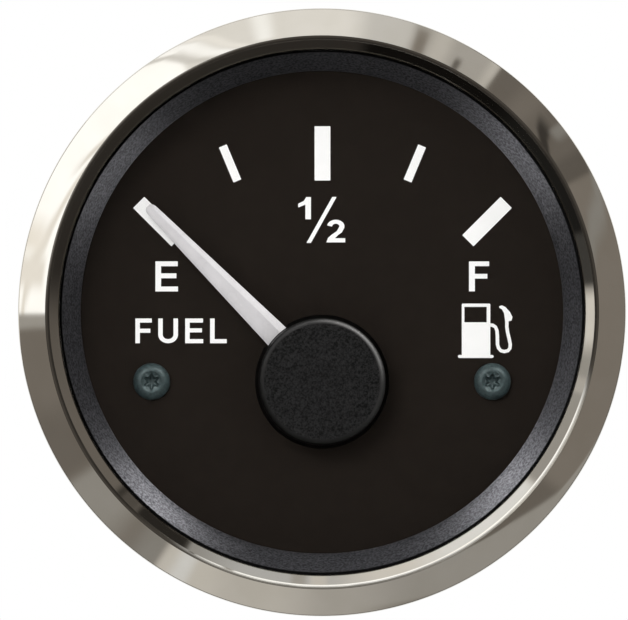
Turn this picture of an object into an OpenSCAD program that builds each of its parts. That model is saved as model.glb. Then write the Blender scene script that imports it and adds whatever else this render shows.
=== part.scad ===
// Round panel fuel gauge for a 52 mm hole: polished bezel, black dial, white pointer.
// X points right, Y points into the panel and Z points up. The origin is on the barrel's
// axis, at the front face of the panel. Pieces are drawn face on, with their own z
// towards the reader, and face_on() stands them up. Behind the panel their z is negative.

/* [Case] */
// Outer diameter of the barrel that goes through the panel
barrel_d = 51.6; // [50:0.1:54]
// Depth of the barrel behind the front face of the panel
case_depth = 38; // [36:0.5:60]
// Wall thickness of the barrel
case_wall = 1.4; // [1:0.1:2]
// Thickness of the back of the case
case_back_t = 2; // [1.5:0.1:3]
// Bevel round the back edge of the barrel
case_bevel = 0.5; // [0.2:0.1:1]
// How far the step that centres the gasket stands out of the barrel
step_out = 0.6; // [0.3:0.1:0.8]
// Thickness of the flange that the bezel is rolled over
flange_t = 1.2; // [0.8:0.1:2]
// Wall thickness of the cup that holds the dial and the glass
cup_wall = 1.2; // [1:0.1:1.4]

/* [Bezel] */
// How far the bezel stands out past the barrel
bezel_overhang = 5.2; // [4.8:0.1:7]
// Width of the bezel from its rim to its opening
lip_w = 4.2; // [3.8:0.1:4.4]
// Width of the bezel's inner wall, from its opening to its ridge
inner_wall_w = 1.3; // [1.1:0.1:1.6]
// Height of the ridge above the glass
ridge_rise = 1.1; // [1:0.1:2.5]
// How much lower the rim is than the ridge
rim_drop = 1.6; // [0.8:0.1:2]
// Thickness of the bezel's sheet metal
sheet_t = 0.6; // [0.4:0.1:0.8]
// Width of the edge that is rolled in behind the flange
curl_w = 2.1; // [1.2:0.1:2.2]
// Size of the bevel on the bezel's rim
rim_bevel = 0.5; // [0.2:0.1:0.8]

/* [Glass and reveal ring] */
// Thickness of the glass
lens_t = 1.6; // [1:0.1:3]
// How far the glass reaches in under the bezel's lip
lens_lap = 1.4; // [1.3:0.1:1.6]
// Thickness of the seal behind the glass
seal_t = 0.6; // [0.4:0.1:1.2]
// Height of the reveal ring between the dial and the glass
reveal_h = 4.8; // [4.4:0.1:8]
// Width of the reveal ring's slope, seen from the front
reveal_w = 1.9; // [1.2:0.1:2.2]
// How far the reveal ring's opening is set in from the bezel's
reveal_set_in = 0.2; // [0.1:0.1:0.4]
// How far the dial reaches in under the reveal ring
dial_lap = 0.9; // [0.7:0.1:1.5]

/* [Dial] */
// Thickness of the dial plate
dial_t = 0.5; // [0.3:0.1:1]
// Distance from the bottom of the barrel's bore up to the pointer's pivot
pivot_rise = 17.3; // [16.4:0.1:18.4]
// Distance from the pivot across to each dial screw
screw_x = 17.44; // [16.5:0.01:18.5]
// Head diameter of the dial screws
screw_head_d = 3.78; // [3:0.01:4.5]
// Head height of the dial screws
screw_head_h = 1; // [0.6:0.1:1.4]
// Shank diameter of the dial screws
screw_d = 1.9; // [1.6:0.1:2.2]
// Shank length of the dial screws
screw_l = 3.6; // [3:0.1:4]
// Gap between the half mark and the opening of the reveal ring
mark_gap = 5.65; // [5:0.05:7]
// Angle from the empty mark to the full mark
scale_angle = 91.6; // [80:0.1:100]
// Length of the long marks
major_l = 5.6; // [3:0.1:7]
// Width of the long marks
major_w = 1.63; // [1:0.01:2.5]
// Length of the short marks
minor_l = 3.93; // [2:0.01:5]
// Width of the short marks
minor_w = 0.87; // [0.5:0.01:1.5]
// Thickness of the printed scale marks
print_t = 0.08; // [0.05:0.01:0.2]

/* [Pointer] */
// How far the pointer's tip stops short of the outer ends of the scale marks
tip_gap = 0.85; // [0.2:0.05:3]
// Width of the pointer at its hub
pointer_root_w = 2.88; // [2:0.01:3.2]
// Width of the pointer near its tip
pointer_tip_w = 1.2; // [0.6:0.1:2]
// Thickness of the pointer's edges
pointer_edge_t = 0.5; // [0.3:0.1:0.8]
// Height of the pointer's ridge at its hub
pointer_ridge_h = 1.3; // [0.9:0.1:1.5]
// Sideways place of the ridge, as a part of the half width
ridge_side = 0.42; // [0:0.01:0.8]
// Gap between the dial and the underside of the pointer
pointer_gap = 0.9; // [0.6:0.1:1.3]
// How far the resting pointer stands clockwise of the empty mark, in degrees
rest_angle_past_empty = 1; // [0:0.1:3]
// How far the pointer can go past the full mark, in degrees
past_full_angle = 1.4; // [0:0.1:6]
// Outer radius of the pointer's hub
hub_r = 3; // [2.4:0.1:3.6]
// Outer diameter of the round cap over the hub
cap_d = 13.7; // [12:0.1:15]
// Height of the cap's skirt and top together
cap_h = 3.7; // [3.4:0.1:4]
// Wall thickness of the cap
cap_wall = 0.9; // [0.6:0.1:1.2]
// Slope of the cap's side, as the radius that it loses between its foot and its top
cap_draft = 0.4; // [0:0.05:0.5]
// Radius of the cap's rounded edge
cap_edge_r = 0.3; // [0.2:0.05:0.5]
// Gap between the dial and the cap
cap_gap = 0.4; // [0.3:0.1:0.8]
// Height of the brass counterweight
weight_h = 1.1; // [0.6:0.1:1.2]

/* [Movement] */
// Diameter of the spindle
spindle_d = 1; // [0.8:0.1:1.4]
// Diameter of the round magnet on the spindle
rotor_d = 10; // [8:0.1:11]
// Thickness of the round magnet
rotor_h = 3; // [2:0.1:4]
// Room round the magnet in the coil former
rotor_room = 1; // [0.5:0.1:1.2]
// Width of the square coil former
bobbin_w = 17; // [16.5:0.1:18]
// Depth of the coil former between its corner posts
bobbin_h = 10; // [9:0.1:12]
// Width of the corner posts of the coil former
post_w = 3.3; // [3:0.1:3.6]
// Thickness of each coil
coil_t = 1.2; // [0.6:0.1:1.6]
// Inner diameter of the steel can round the coils
can_d = 29; // [27:0.1:31]
// Wall thickness of the steel can
can_wall = 0.5; // [0.3:0.1:0.8]
// Outer diameter of the spindle bearings
bearing_d = 3; // [2.4:0.1:3.2]
// Diameter of the two stop posts
stop_d = 1; // [0.8:0.1:1.4]
// Distance from the pivot to the stop posts
stop_r = 3.4; // [3.2:0.1:3.8]
// Width of the stop arm
arm_w = 1; // [0.6:0.1:1.4]
// Thickness of the stop arm
arm_t = 1; // [0.6:0.1:1.1]

/* [Carrier and light] */
// Thickness of the carrier plate behind the dial
carrier_t = 2; // [1.8:0.1:3]
// Thickness of the light guide between the carrier and the dial
guide_t = 1.7; // [1.2:0.1:2.4]
// Distance from the top of the barrel's bore down to the lamp's axis
lamp_drop = 8.4; // [8:0.1:9]
// Diameter of the lamp holder where it passes through the back
holder_d = 10.8; // [9.6:0.1:11]
// How far the lamp holder reaches into the case
holder_in = 8; // [6:0.1:9]
// Diameter of the lamp holder's flange
holder_flange_d = 13; // [12.8:0.1:13.4]
// Thickness of the lamp holder's flange
holder_flange_t = 2.5; // [1.5:0.1:4]
// Length of the lamp holder's grip behind its flange
grip_l = 5.7; // [4:0.1:9]
// Diameter of the bulb
bulb_d = 5; // [4.2:0.1:5.6]
// Length of the bulb that stands out of the holder
bulb_out = 12; // [10:0.1:13]
// Thickness of the rubber ring behind the lamp holder's flange
lamp_seal_t = 0.8; // [0.5:0.1:1.2]

/* [Circuit board and terminals] */
// Gap between the edge of the circuit board and the barrel
board_edge_gap = 2.4; // [1.6:0.1:3]
// Thickness of the circuit board
board_t = 1.6; // [1:0.1:2]
// Gap between the case's back and the circuit board
board_gap = 4.4; // [3.8:0.1:5]
// Width of the blade terminals
blade_w = 6.3; // [4.8:0.1:6.8]
// Thickness of the blade terminals
blade_t = 0.8; // [0.5:0.1:1]
// Length of the blade terminals behind the case
blade_l = 8; // [6:0.1:10]
// Distance from the axis across to the two outer terminals
terminal_x = 12; // [11:0.1:13]
// Distance from the bottom of the barrel's bore up to the two outer terminals
terminal_rise = 10.4; // [9.4:0.1:10.9]
// Distance from the bottom of the barrel's bore up to the middle terminal
middle_terminal_rise = 6.9; // [5.4:0.1:7.4]

/* [Panel clamp] */
// Thickness of the panel that the clamp stands ready to hold
panel_t = 5; // [1:0.1:12]
// Thickness of the gasket under the bezel
gasket_t = 1; // [0.6:0.1:2]
// Width of the clamp's steel strip
strip_w = 16; // [12:0.5:17]
// Thickness of the clamp's steel strip
strip_t = 1.2; // [0.8:0.1:2]
// Gap between the barrel and the legs of the clamp
leg_gap = 1.2; // [0.9:0.1:1.6]
// Inner radius of the bends in the clamp
bend_r = 1; // [0.5:0.1:1]
// Gap between the back of the case and the clamp's crossbar
bar_gap = 3; // [2:0.1:6]
// Reach of the clamp's feet, measured from the inside of its legs
foot_l = 3.6; // [3:0.1:3.8]
// Distance that the feet's round ends stay in from the bezel's rim
foot_set_in = 0.5; // [0.4:0.1:0.8]
// Diameter of the clamp's threaded studs
stud_d = 4; // [3:0.1:5]
// Distance from the barrel's bore in to each stud's axis
stud_in = 6.4; // [5.5:0.1:7.5]
// Length of the studs behind the case
stud_l = 23; // [22:0.1:36]
// Outer diameter of the knurled nuts
nut_d = 12; // [10:0.1:14]
// Height of the knurled nuts
nut_h = 6; // [4:0.1:8]
// Number of grooves round each nut
nut_grooves = 30; // [16:1:40]
// Depth of the grooves in the nuts
groove_depth = 0.4; // [0.2:0.05:0.6]
// Outer diameter of the washers
washer_d = 9; // [8:0.1:12]
// Thickness of the washers
washer_t = 0.8; // [0.5:0.1:1.2]

/* [Clearances] */
// Radial gap between a fixed piece and the recess that it drops into
drop_in_gap = 0.1; // [0.05:0.01:0.15]
// Radial gap of a turning shaft or nut
running_gap = 0.05; // [0.02:0.01:0.1]
// Radial gap of the studs in the clamp and its washers
stud_gap = 0.3; // [0.2:0.05:0.5]
// Gap round the loose plates inside the case
loose_gap = 0.2; // [0.1:0.05:0.3]
// Gap between the stop arm and its post at each end of the sweep
stop_gap = 0.06; // [0.04:0.01:0.2]

/* [Hidden] */
$fn = 96;
// A cutter runs this far past the faces that it cuts through
past = 1;

// Radii, from the barrel outwards and from the bezel inwards
barrel_r = barrel_d / 2;
case_in_r = barrel_r - case_wall;
step_r = barrel_r + step_out;
bezel_r = barrel_r + bezel_overhang;
flange_r = bezel_r - sheet_t - drop_in_gap;
curl_r = bezel_r - curl_w;
aperture_r = bezel_r - lip_w;
ridge_r = aperture_r + inner_wall_w;
lens_r = aperture_r + lens_lap;
cup_r = lens_r + drop_in_gap;
cup_in_r = cup_r - cup_wall;
reveal_r = cup_in_r - drop_in_gap;
reveal_front_r = aperture_r - reveal_set_in;
reveal_dial_r = reveal_front_r - reveal_w;
dial_r = reveal_dial_r + dial_lap;
pivot_drop = case_in_r - pivot_rise;
scale_r = reveal_dial_r + pivot_drop - mark_gap;
pointer_l = scale_r - tip_gap;
pad_r = curl_r - loose_gap;

// Heights of the stack, from the panel towards the reader
flange_z = gasket_t + sheet_t;
dial_z = flange_z;
dial_top_z = dial_z + dial_t;
cup_floor_z = dial_top_z + drop_in_gap;
lens_z = cup_floor_z + reveal_h;
lens_top_z = lens_z + lens_t;
cup_rim_z = lens_z - seal_t;
ridge_z = lens_top_z + ridge_rise;
rim_z = ridge_z - rim_drop;

// Pointer and cap
pointer_z = dial_top_z + pointer_gap;
cap_z = dial_top_z + cap_gap;
cap_r = cap_d / 2;
cap_top_z = cap_z + cap_h;
cap_under_z = cap_top_z - cap_wall;
spindle_r = spindle_d / 2;
bush_wall = 1;
bush_r = spindle_r + bush_wall;
dial_hole_gap = 0.5;
dial_hole_r = bush_r + dial_hole_gap;
tail_t = 0.6;
weight_z = pointer_z + tail_t;
weight_r = cap_r - cap_wall - 2 * loose_gap;
rest_angle = rest_angle_past_empty - scale_angle / 2;
sweep_angle = scale_angle + past_full_angle - rest_angle_past_empty;

// Carrier, light guide and movement, from the dial backwards
guide_top_z = dial_z - loose_gap;
guide_z = guide_top_z - guide_t;
carrier_top_z = guide_z - drop_in_gap;
carrier_z = carrier_top_z - carrier_t;
carrier_r = case_in_r - loose_gap;
boss_wall = 1.2;
boss_r = screw_d / 2 + boss_wall;
lamp_window_gap = 1.5;
can_r = can_d / 2;
can_out_r = can_r + can_wall;
coil_room = 2 * coil_t + 2 * loose_gap;
bobbin_top_z = carrier_z - coil_room;
bobbin_z = bobbin_top_z - bobbin_h;
bobbin_mid_z = bobbin_top_z - bobbin_h / 2;
post_end_z = bobbin_z - coil_room;
cavity_r = rotor_d / 2 + rotor_room;
cavity_h = rotor_h + 2 * rotor_room;
post_x = bobbin_w / 2 - post_w / 2;
coil_half_w = bobbin_w / 2 - post_w - drop_in_gap;
bearing_r = bearing_d / 2;
bearing_l = 2.8;
bearing_out = 0.8;
bearing_coil_gap = 0.3;
coil_slot = bearing_r + bearing_coil_gap;
can_floor_z = post_end_z - loose_gap;
can_z = can_floor_z - can_wall;
spindle_end_z = bobbin_z;
arm_z = guide_z + loose_gap;
arm_hub_wall = 0.9;
arm_hub_r = spindle_r + arm_hub_wall;
stop_angle = asin((arm_w / 2 + stop_d / 2 + stop_gap) / stop_r);
// The stop arm points this far clockwise of the pointer
arm_angle = 90;
movement_screw_r = 0.8;
movement_head_r = 1.5;
movement_head_t = 0.8;
movement_screw_l = 4;
// The screw holes go on this far past the ends of the movement screws
screw_end_gap = 1.2;
magnet_r = 0.9;
magnet_l = 3;
pin_r = 0.4;
can_hole_r = pin_r + 1;

// Back of the case, circuit board and lamp
back_z = -case_depth;
back_in_z = back_z + case_back_t;
board_z = back_in_z + board_gap;
board_top_z = board_z + board_t;
board_r = case_in_r - board_edge_gap;
board_post_r = 2.4;
board_screw_r = 0.9;
board_screw_head_r = 1.8;
board_screw_head_t = 1.1;
board_socket_r = 0.8;
// Length of the board screws below the board
board_screw_bite = 2;
board_post_in = 6;
board_post_x = board_r - board_post_in;
board_post_y = 9;
board_posts = [[-board_post_x, board_post_y], [board_post_x, board_post_y], [0, -pivot_drop]];
// Bodies of the small parts on the board, and where they stand
parts_in = 7.5;
parts_x = board_r - parts_in;
resistor_r = 1.15;
resistor_l = 5;
resistor_row = 4;
resistor_y = -2;
resistor_lead_r = 0.3;
diode_r = 1.3;
diode_l = 4.8;
diode_y = -6;
diode_lead_r = 0.4;
capacitor_r = 2.5;
capacitor_h = 7;
capacitor_y = 1;
capacitor_in = 7.8;
capacitor_edge_r = 0.4;
lead_reach = 1.6;
lead_lift = 0.6;
// Stubs of pins and tails that stick out of the board
pin_out = 0.5;
tail_w = blade_w / 3;
blade_hole_r = 0.85;
lamp_y = case_in_r - lamp_drop;
holder_r = holder_d / 2;
holder_top_z = back_in_z + holder_in;
holder_flange_r = holder_flange_d / 2;
holder_flange_z = back_z - lamp_seal_t - holder_flange_t;
holder_end_z = holder_flange_z - grip_l;
grip_set_in = 0.6;
grip_r = holder_r - grip_set_in;
contact_w = 2.8;
contact_t = 0.5;
contact_x = 0.55 * grip_r;
bulb_r = bulb_d / 2;
bulb_base_l = 6;
lamp_blade_l = 6;
lamp_hole_r = holder_r + drop_in_gap;
board_notch_gap = 1.5;
board_notch_r = lamp_hole_r + board_notch_gap;

// Panel clamp
stud_x = case_in_r - stud_in;
stud_r = stud_d / 2;
stud_head_w = 1.75 * stud_d;
stud_head_t = 2;
leg_x = barrel_r + leg_gap;
bar_z = back_z - bar_gap;
washer_z = bar_z - strip_t - washer_t;
nut_z = washer_z - nut_h;

// Draws flat, face-on shapes and stands them up, facing the front
module face_on() {
    rotate([90, 0, 0]) children();
}

// Puts face-on shapes on the pointer's pivot
module at_pivot() {
    face_on() translate([0, -pivot_drop, 0]) children();
}

// Turns face-on shapes clockwise from straight up
module clockwise(angle) {
    rotate([0, 0, -angle]) children();
}

// Upright round bar from z0 up to z1
module bar(r, z0, z1) {
    translate([0, 0, z0]) cylinder(r = r, h = z1 - z0);
}

// Upright round bar with a hole all the way through
module ring(r, hole_r, z0, z1) {
    difference() {
        bar(r, z0, z1);
        bar(hole_r, z0 - past, z1 + past);
    }
}

// Block between two heights, centred across
module block(w, d, z0, z1) {
    translate([-w / 2, -d / 2, z0]) cube([w, d, z1 - z0]);
}

// Round bar of height h with a rounded far edge, where it is narrower by the draft
module rounded_bar(r, h, edge, draft = 0) {
    inner = r - draft - edge;
    rotate_extrude() polygon(concat(
        [[0, 0], [r, 0]],
        [for (a = [0:15:90]) [inner + edge * cos(a), h - edge + edge * sin(a)]],
        [[0, h]]
    ));
}

// Six-lobed driver socket, sunk below z = 0
module driver_socket(r, depth) {
    translate([0, 0, -depth]) linear_extrude(depth + past) difference() {
        circle(r = r, $fn = 48);
        for (a = [0:60:300]) rotate(a) translate([r * 1.08, 0]) circle(r = r * 0.24, $fn = 24);
    }
}

// Pan-head screw whose head sits on z = 0 and whose shank goes down
module pan_screw(head_r, head_h, shank_r, shank_l, socket_r) {
    difference() {
        union() {
            rounded_bar(head_r, head_h, head_h * 0.45);
            bar(shank_r, -shank_l, 0.01);
        }
        translate([0, 0, head_h]) driver_socket(socket_r, head_h * 0.6);
    }
}

// Slope of the bezel's face and of its inner wall
function face_slope() = rim_drop / (bezel_r - ridge_r);
function wall_slope() = ridge_rise / (ridge_r - aperture_r);
// Height difference between the two skins of a sheet that lies on a slope
function skin(slope) = sheet_t * sqrt(1 + slope * slope);
// Height of the underside of the face and of the inner wall at radius r
function face_under(r) = ridge_z - skin(face_slope()) - (r - ridge_r) * face_slope();
function wall_under(r) = lens_top_z - skin(wall_slope()) + (r - aperture_r) * wall_slope();
// Radius where the two undersides meet, behind the ridge
inner_ridge_r = ridge_r + (face_under(ridge_r) - wall_under(ridge_r)) / (face_slope() + wall_slope());
lip_end_r = aperture_r + skin(wall_slope()) / wall_slope();

module bezel() {
    color("#c9c6c0") face_on() rotate_extrude($fn = 180) polygon([
        [aperture_r, lens_top_z],
        [ridge_r, ridge_z],
        [bezel_r - rim_bevel, rim_z + rim_bevel * face_slope()],
        [bezel_r, rim_z - rim_bevel],
        [bezel_r, gasket_t],
        [curl_r, gasket_t],
        [curl_r, flange_z],
        [bezel_r - sheet_t, flange_z],
        [bezel_r - sheet_t, face_under(bezel_r - sheet_t)],
        [inner_ridge_r, face_under(inner_ridge_r)],
        [lip_end_r, lens_top_z]
    ]);
}

module lens() {
    color("#dfe9ec", 0.35) face_on() bar(lens_r, lens_z, lens_top_z);
}

module lens_seal() {
    color("#1c1c1c") face_on() ring(lens_r, cup_in_r, cup_rim_z, lens_z);
}

module reveal_ring() {
    color("#2b2d30") face_on() rotate_extrude() polygon([
        [reveal_dial_r, cup_floor_z],
        [reveal_r, cup_floor_z],
        [reveal_r, lens_z],
        [reveal_front_r, lens_z]
    ]);
}

module dial() {
    color("#1f1a16") face_on() difference() {
        bar(dial_r, dial_z, dial_top_z);
        translate([0, -pivot_drop, 0]) {
            bar(dial_hole_r, dial_z - past, dial_top_z + past);
            for (side = [-1, 1]) {
                translate([side * screw_x, 0, 0])
                    bar(screw_d / 2 + drop_in_gap, dial_z - past, dial_top_z + past);
            }
        }
    }
}

// One scale mark of width w and length l, straight up from the pivot
module mark(w, l) {
    translate([-w / 2, scale_r - l, dial_top_z]) cube([w, l, print_t]);
}

module scale_print() {
    color("white") at_pivot() for (step = [-2:2]) {
        clockwise(step * scale_angle / 4)
            mark(step % 2 == 0 ? major_w : minor_w, step % 2 == 0 ? major_l : minor_l);
    }
}

module dial_screws() {
    color("#3c484a") at_pivot() for (side = [-1, 1]) {
        translate([side * screw_x, 0, dial_top_z])
            pan_screw(screw_head_d / 2, screw_head_h, screw_d / 2, screw_l, screw_head_d * 0.24);
    }
}

module panel_gasket() {
    color("#161616") face_on() ring(flange_r + drop_in_gap, step_r + loose_gap, 0, gasket_t);
}

// Section through the case, from the middle of its back round to the cup
module case_section() {
    polygon([
        [0, back_z],
        [barrel_r - case_bevel, back_z],
        [barrel_r, back_z + case_bevel],
        [barrel_r, 0],
        [step_r, 0],
        [step_r, gasket_t],
        [pad_r, gasket_t],
        [pad_r, flange_z],
        [flange_r, flange_z],
        [flange_r, flange_z + flange_t],
        [cup_r, flange_z + flange_t],
        [cup_r, cup_rim_z],
        [cup_in_r, cup_rim_z],
        [cup_in_r, cup_floor_z],
        [dial_r + drop_in_gap, cup_floor_z],
        [dial_r + drop_in_gap, dial_z],
        [case_in_r, dial_z],
        [case_in_r, back_in_z],
        [0, back_in_z]
    ]);
}

// Places of the three blade terminals on the back
terminals = [
    [-terminal_x, terminal_rise - case_in_r],
    [0, middle_terminal_rise - case_in_r],
    [terminal_x, terminal_rise - case_in_r]
];

module case() {
    color("#1a1b1c") face_on() difference() {
        union() {
            rotate_extrude($fn = 180) case_section();
            for (p = board_posts) translate([p[0], p[1], 0]) bar(board_post_r, back_in_z, board_z);
        }
        for (side = [-1, 1]) {
            translate([side * stud_x, 0, 0]) bar(stud_r, back_z - past, back_in_z + past);
        }
        translate([0, lamp_y, 0]) bar(lamp_hole_r, back_z - past, back_in_z + past);
        for (p = terminals) translate([p[0], p[1], 0]) {
            block(blade_w + 2 * drop_in_gap, blade_t + 2 * drop_in_gap, back_z - past, back_in_z + past);
        }
        for (p = board_posts) translate([p[0], p[1], 0]) {
            bar(board_screw_r + running_gap, back_in_z + past, board_z + past);
        }
    }
}

// Section across the pointer at distance r: width w, ridge height h
function pointer_section(r, w, h) = [
    [-w / 2, r, 0],
    [w / 2, r, 0],
    [w / 2, r, pointer_edge_t],
    [ridge_side * w / 2, r, h],
    [-w / 2, r, pointer_edge_t]
];

// Pointer blade along +y, with its underside at z = 0
module pointer_blade() {
    nose = pointer_tip_w / 2;
    ridge_end_h = pointer_edge_t + 0.35 * (pointer_ridge_h - pointer_edge_t);
    points = concat(
        pointer_section(0.8 * hub_r, pointer_root_w, pointer_ridge_h),
        pointer_section(pointer_l - nose, pointer_tip_w, ridge_end_h),
        pointer_section(pointer_l, pointer_tip_w / 2, pointer_edge_t)
    );
    sides = [for (s = [0:1], i = [0:4]) [
        5 * s + i, 5 * s + (i + 1) % 5, 5 * s + 5 + (i + 1) % 5, 5 * s + 5 + i
    ]];
    polyhedron(points, concat([[4, 3, 2, 1, 0]], sides, [[10, 11, 12, 13, 14]]));
}

module pointer() {
    color("#f2f1ec") at_pivot() clockwise(rest_angle) translate([0, 0, pointer_z]) {
        difference() {
            union() {
                bar(hub_r, 0, pointer_ridge_h);
                translate([-hub_r / 2, -weight_r, 0]) cube([hub_r, weight_r, tail_t]);
                pointer_blade();
            }
            bar(bush_r, -past, pointer_ridge_h + past);
        }
    }
}

module pointer_cap() {
    color("#1b1c1e") at_pivot() clockwise(rest_angle) translate([0, 0, cap_z]) difference() {
        rounded_bar(cap_r, cap_h, cap_edge_r, cap_draft);
        bar(cap_r - cap_wall, -past, cap_h - cap_wall);
        translate([0, cap_r, -past])
            block(pointer_root_w + 2 * drop_in_gap, 2 * cap_wall + past,
                0, past + pointer_gap - cap_gap + pointer_ridge_h + drop_in_gap);
    }
}

module pointer_bush() {
    color("#b8963e") at_pivot() ring(bush_r, spindle_r, cap_z + drop_in_gap, cap_under_z);
}

module counterweight() {
    color("#b8963e") at_pivot() clockwise(rest_angle) difference() {
        bar(weight_r, weight_z, weight_z + weight_h);
        bar(hub_r + drop_in_gap, weight_z - past, weight_z + weight_h + past);
        translate([0, cap_r - hub_r / 2, 0])
            block(2 * cap_r, 2 * cap_r, weight_z - past, weight_z + weight_h + past);
    }
}

module spindle() {
    color("#c4c6c8") at_pivot() bar(spindle_r, spindle_end_z, cap_under_z - loose_gap);
}

module stop_arm() {
    color("#c4c6c8") at_pivot() clockwise(rest_angle + arm_angle) translate([0, 0, arm_z]) difference() {
        union() {
            bar(arm_hub_r, 0, arm_t);
            translate([-arm_w / 2, 0, 0]) cube([arm_w, stop_r + stop_d / 2, arm_t]);
        }
        bar(spindle_r, -past, arm_t + past);
    }
}

module stop_posts() {
    color("#c4c6c8") at_pivot() for (a = [-stop_angle, sweep_angle + stop_angle]) {
        clockwise(rest_angle + arm_angle + a) translate([0, stop_r, 0])
            bar(stop_d / 2, carrier_top_z, arm_z + arm_t);
    }
}

module rotor_magnet() {
    color("#6f7478") at_pivot()
        ring(rotor_d / 2, spindle_r, bobbin_mid_z - rotor_h / 2, bobbin_mid_z + rotor_h / 2);
}

// Half of the coil former, from its middle up, before it is drilled
module bobbin_half() {
    difference() {
        union() {
            block(bobbin_w, bobbin_w, 0, bobbin_h / 2);
            for (x = [-post_x, post_x], y = [-post_x, post_x]) {
                translate([x, y, 0]) block(post_w, post_w, 0, bobbin_h / 2 + coil_room);
            }
        }
        bar(cavity_r, -past, cavity_h / 2);
        bar(bearing_r, 0, bobbin_h / 2 + past);
    }
}

// Screws hold two corners of the coil former, and the zero magnet sits in a third
screw_corners = [[-post_x, post_x], [post_x, -post_x]];
magnet_corner = [post_x, post_x];

module bobbin_front() {
    color("#e8e4d6") at_pivot() translate([0, 0, bobbin_mid_z]) difference() {
        bobbin_half();
        for (p = screw_corners) translate([p[0], p[1], 0]) {
            bar(movement_screw_r, bobbin_h / 2 - screw_end_gap, bobbin_h / 2 + coil_room + past);
        }
        translate([magnet_corner[0], magnet_corner[1], 0])
            bar(magnet_r, bobbin_h / 2 + coil_room - magnet_l, bobbin_h / 2 + coil_room + past);
    }
}

module bobbin_rear() {
    color("#e8e4d6") at_pivot() translate([0, 0, bobbin_mid_z]) mirror([0, 0, 1]) difference() {
        bobbin_half();
        for (x = [-post_x, post_x], y = [-post_x, post_x]) translate([x, y, 0]) {
            bar(pin_r, bobbin_h / 2, bobbin_h / 2 + coil_room + past);
        }
    }
}

// Two flat windings round the coil former, either side of the spindle, standing off by out
module winding(out) {
    inner_w = bobbin_w + 2 * out;
    outer_w = inner_w + 2 * coil_t;
    translate([0, 0, bobbin_mid_z]) difference() {
        block(2 * coil_half_w, outer_w, -bobbin_h / 2 - out - coil_t, bobbin_h / 2 + out + coil_t);
        block(2 * coil_half_w + past, inner_w, -bobbin_h / 2 - out, bobbin_h / 2 + out);
        block(2 * coil_slot, outer_w + past, -bobbin_h, bobbin_h);
    }
}

module inner_coil() {
    color("#a4552a") at_pivot() winding(0);
}

module outer_coil() {
    color("#b0622f") at_pivot() rotate(90) winding(coil_t);
}

module coil_pins() {
    color("#c9c9c4") at_pivot() for (x = [-post_x, post_x], y = [-post_x, post_x]) {
        translate([x, y, 0]) bar(pin_r, board_z - pin_out, bobbin_z);
    }
}

module front_bearing() {
    color("#b8963e") at_pivot() ring(bearing_r, spindle_r + running_gap,
        bobbin_top_z + bearing_out - bearing_l, bobbin_top_z + bearing_out);
}

module rear_bearing() {
    color("#b8963e") at_pivot() difference() {
        bar(bearing_r, bobbin_z - bearing_out, bobbin_z - bearing_out + bearing_l);
        bar(spindle_r + running_gap, spindle_end_z - running_gap, bobbin_z + bearing_l);
    }
}

module shield_can() {
    color("#9aa0a3") at_pivot() difference() {
        bar(can_out_r, can_z, carrier_z);
        bar(can_r, can_floor_z, carrier_z + past);
        for (x = [-post_x, post_x], y = [-post_x, post_x]) translate([x, y, 0]) {
            bar(can_hole_r, can_z - past, can_floor_z + past);
        }
    }
}

module zero_magnet() {
    color("#6f7478") at_pivot() translate([magnet_corner[0], magnet_corner[1], 0])
        bar(magnet_r, carrier_z - magnet_l, carrier_z);
}

module movement_screws() {
    color("#c4c6c8") at_pivot() for (p = screw_corners) {
        translate([p[0], p[1], carrier_top_z - movement_head_t])
            pan_screw(movement_head_r, movement_head_t, movement_screw_r, movement_screw_l,
                movement_head_r / 2);
    }
}

module light_guide() {
    color("#dfe7e4", 0.6) face_on() difference() {
        bar(carrier_r, guide_z, guide_top_z);
        translate([0, -pivot_drop, 0]) {
            bar(stop_r + stop_d, guide_z - past, guide_top_z + past);
            for (side = [-1, 1]) {
                translate([side * screw_x, 0, 0]) bar(boss_r + loose_gap, guide_z - past, guide_top_z + past);
            }
        }
    }
}

module dial_carrier() {
    color("#ececea") face_on() difference() {
        union() {
            bar(carrier_r, carrier_z, carrier_top_z);
            for (side = [-1, 1]) {
                translate([side * screw_x, -pivot_drop, 0]) bar(boss_r, carrier_z, dial_z);
            }
        }
        translate([0, lamp_y, 0]) bar(bulb_r + lamp_window_gap, carrier_z - past, carrier_top_z + past);
        translate([0, -pivot_drop, 0]) {
            bar(bearing_r, carrier_z - past, carrier_top_z + past);
            for (side = [-1, 1]) {
                translate([side * screw_x, 0, 0])
                    bar(screw_d / 2, dial_top_z - screw_l - loose_gap, dial_z + past);
            }
            for (p = screw_corners) translate([p[0], p[1], 0]) {
                bar(movement_screw_r + running_gap, carrier_z - past, carrier_top_z + past);
                bar(movement_head_r + drop_in_gap, carrier_top_z - movement_head_t, carrier_top_z + past);
            }
        }
    }
}

// Puts face-on shapes on the lamp's axis
module at_lamp() {
    face_on() translate([0, lamp_y, 0]) children();
}

module lamp_holder() {
    color("#202224") at_lamp() difference() {
        union() {
            bar(holder_r, back_z - lamp_seal_t, holder_top_z);
            bar(holder_flange_r, holder_flange_z, back_z - lamp_seal_t);
            bar(grip_r, holder_end_z, holder_flange_z);
        }
        bar(bulb_r + drop_in_gap, holder_top_z - bulb_base_l, holder_top_z + past);
    }
}

module lamp_bulb() {
    color("#f4f2e4", 0.5) at_lamp() {
        bar(bulb_r, holder_top_z - bulb_base_l, holder_top_z + bulb_out - bulb_r);
        translate([0, 0, holder_top_z + bulb_out - bulb_r]) sphere(r = bulb_r, $fn = 48);
    }
}

module lamp_contacts() {
    color("#c7a552") at_lamp() for (side = [-1, 1]) {
        translate([side * contact_x, 0, 0])
            block(contact_t, contact_w, holder_end_z - lamp_blade_l, holder_end_z);
    }
}

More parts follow.
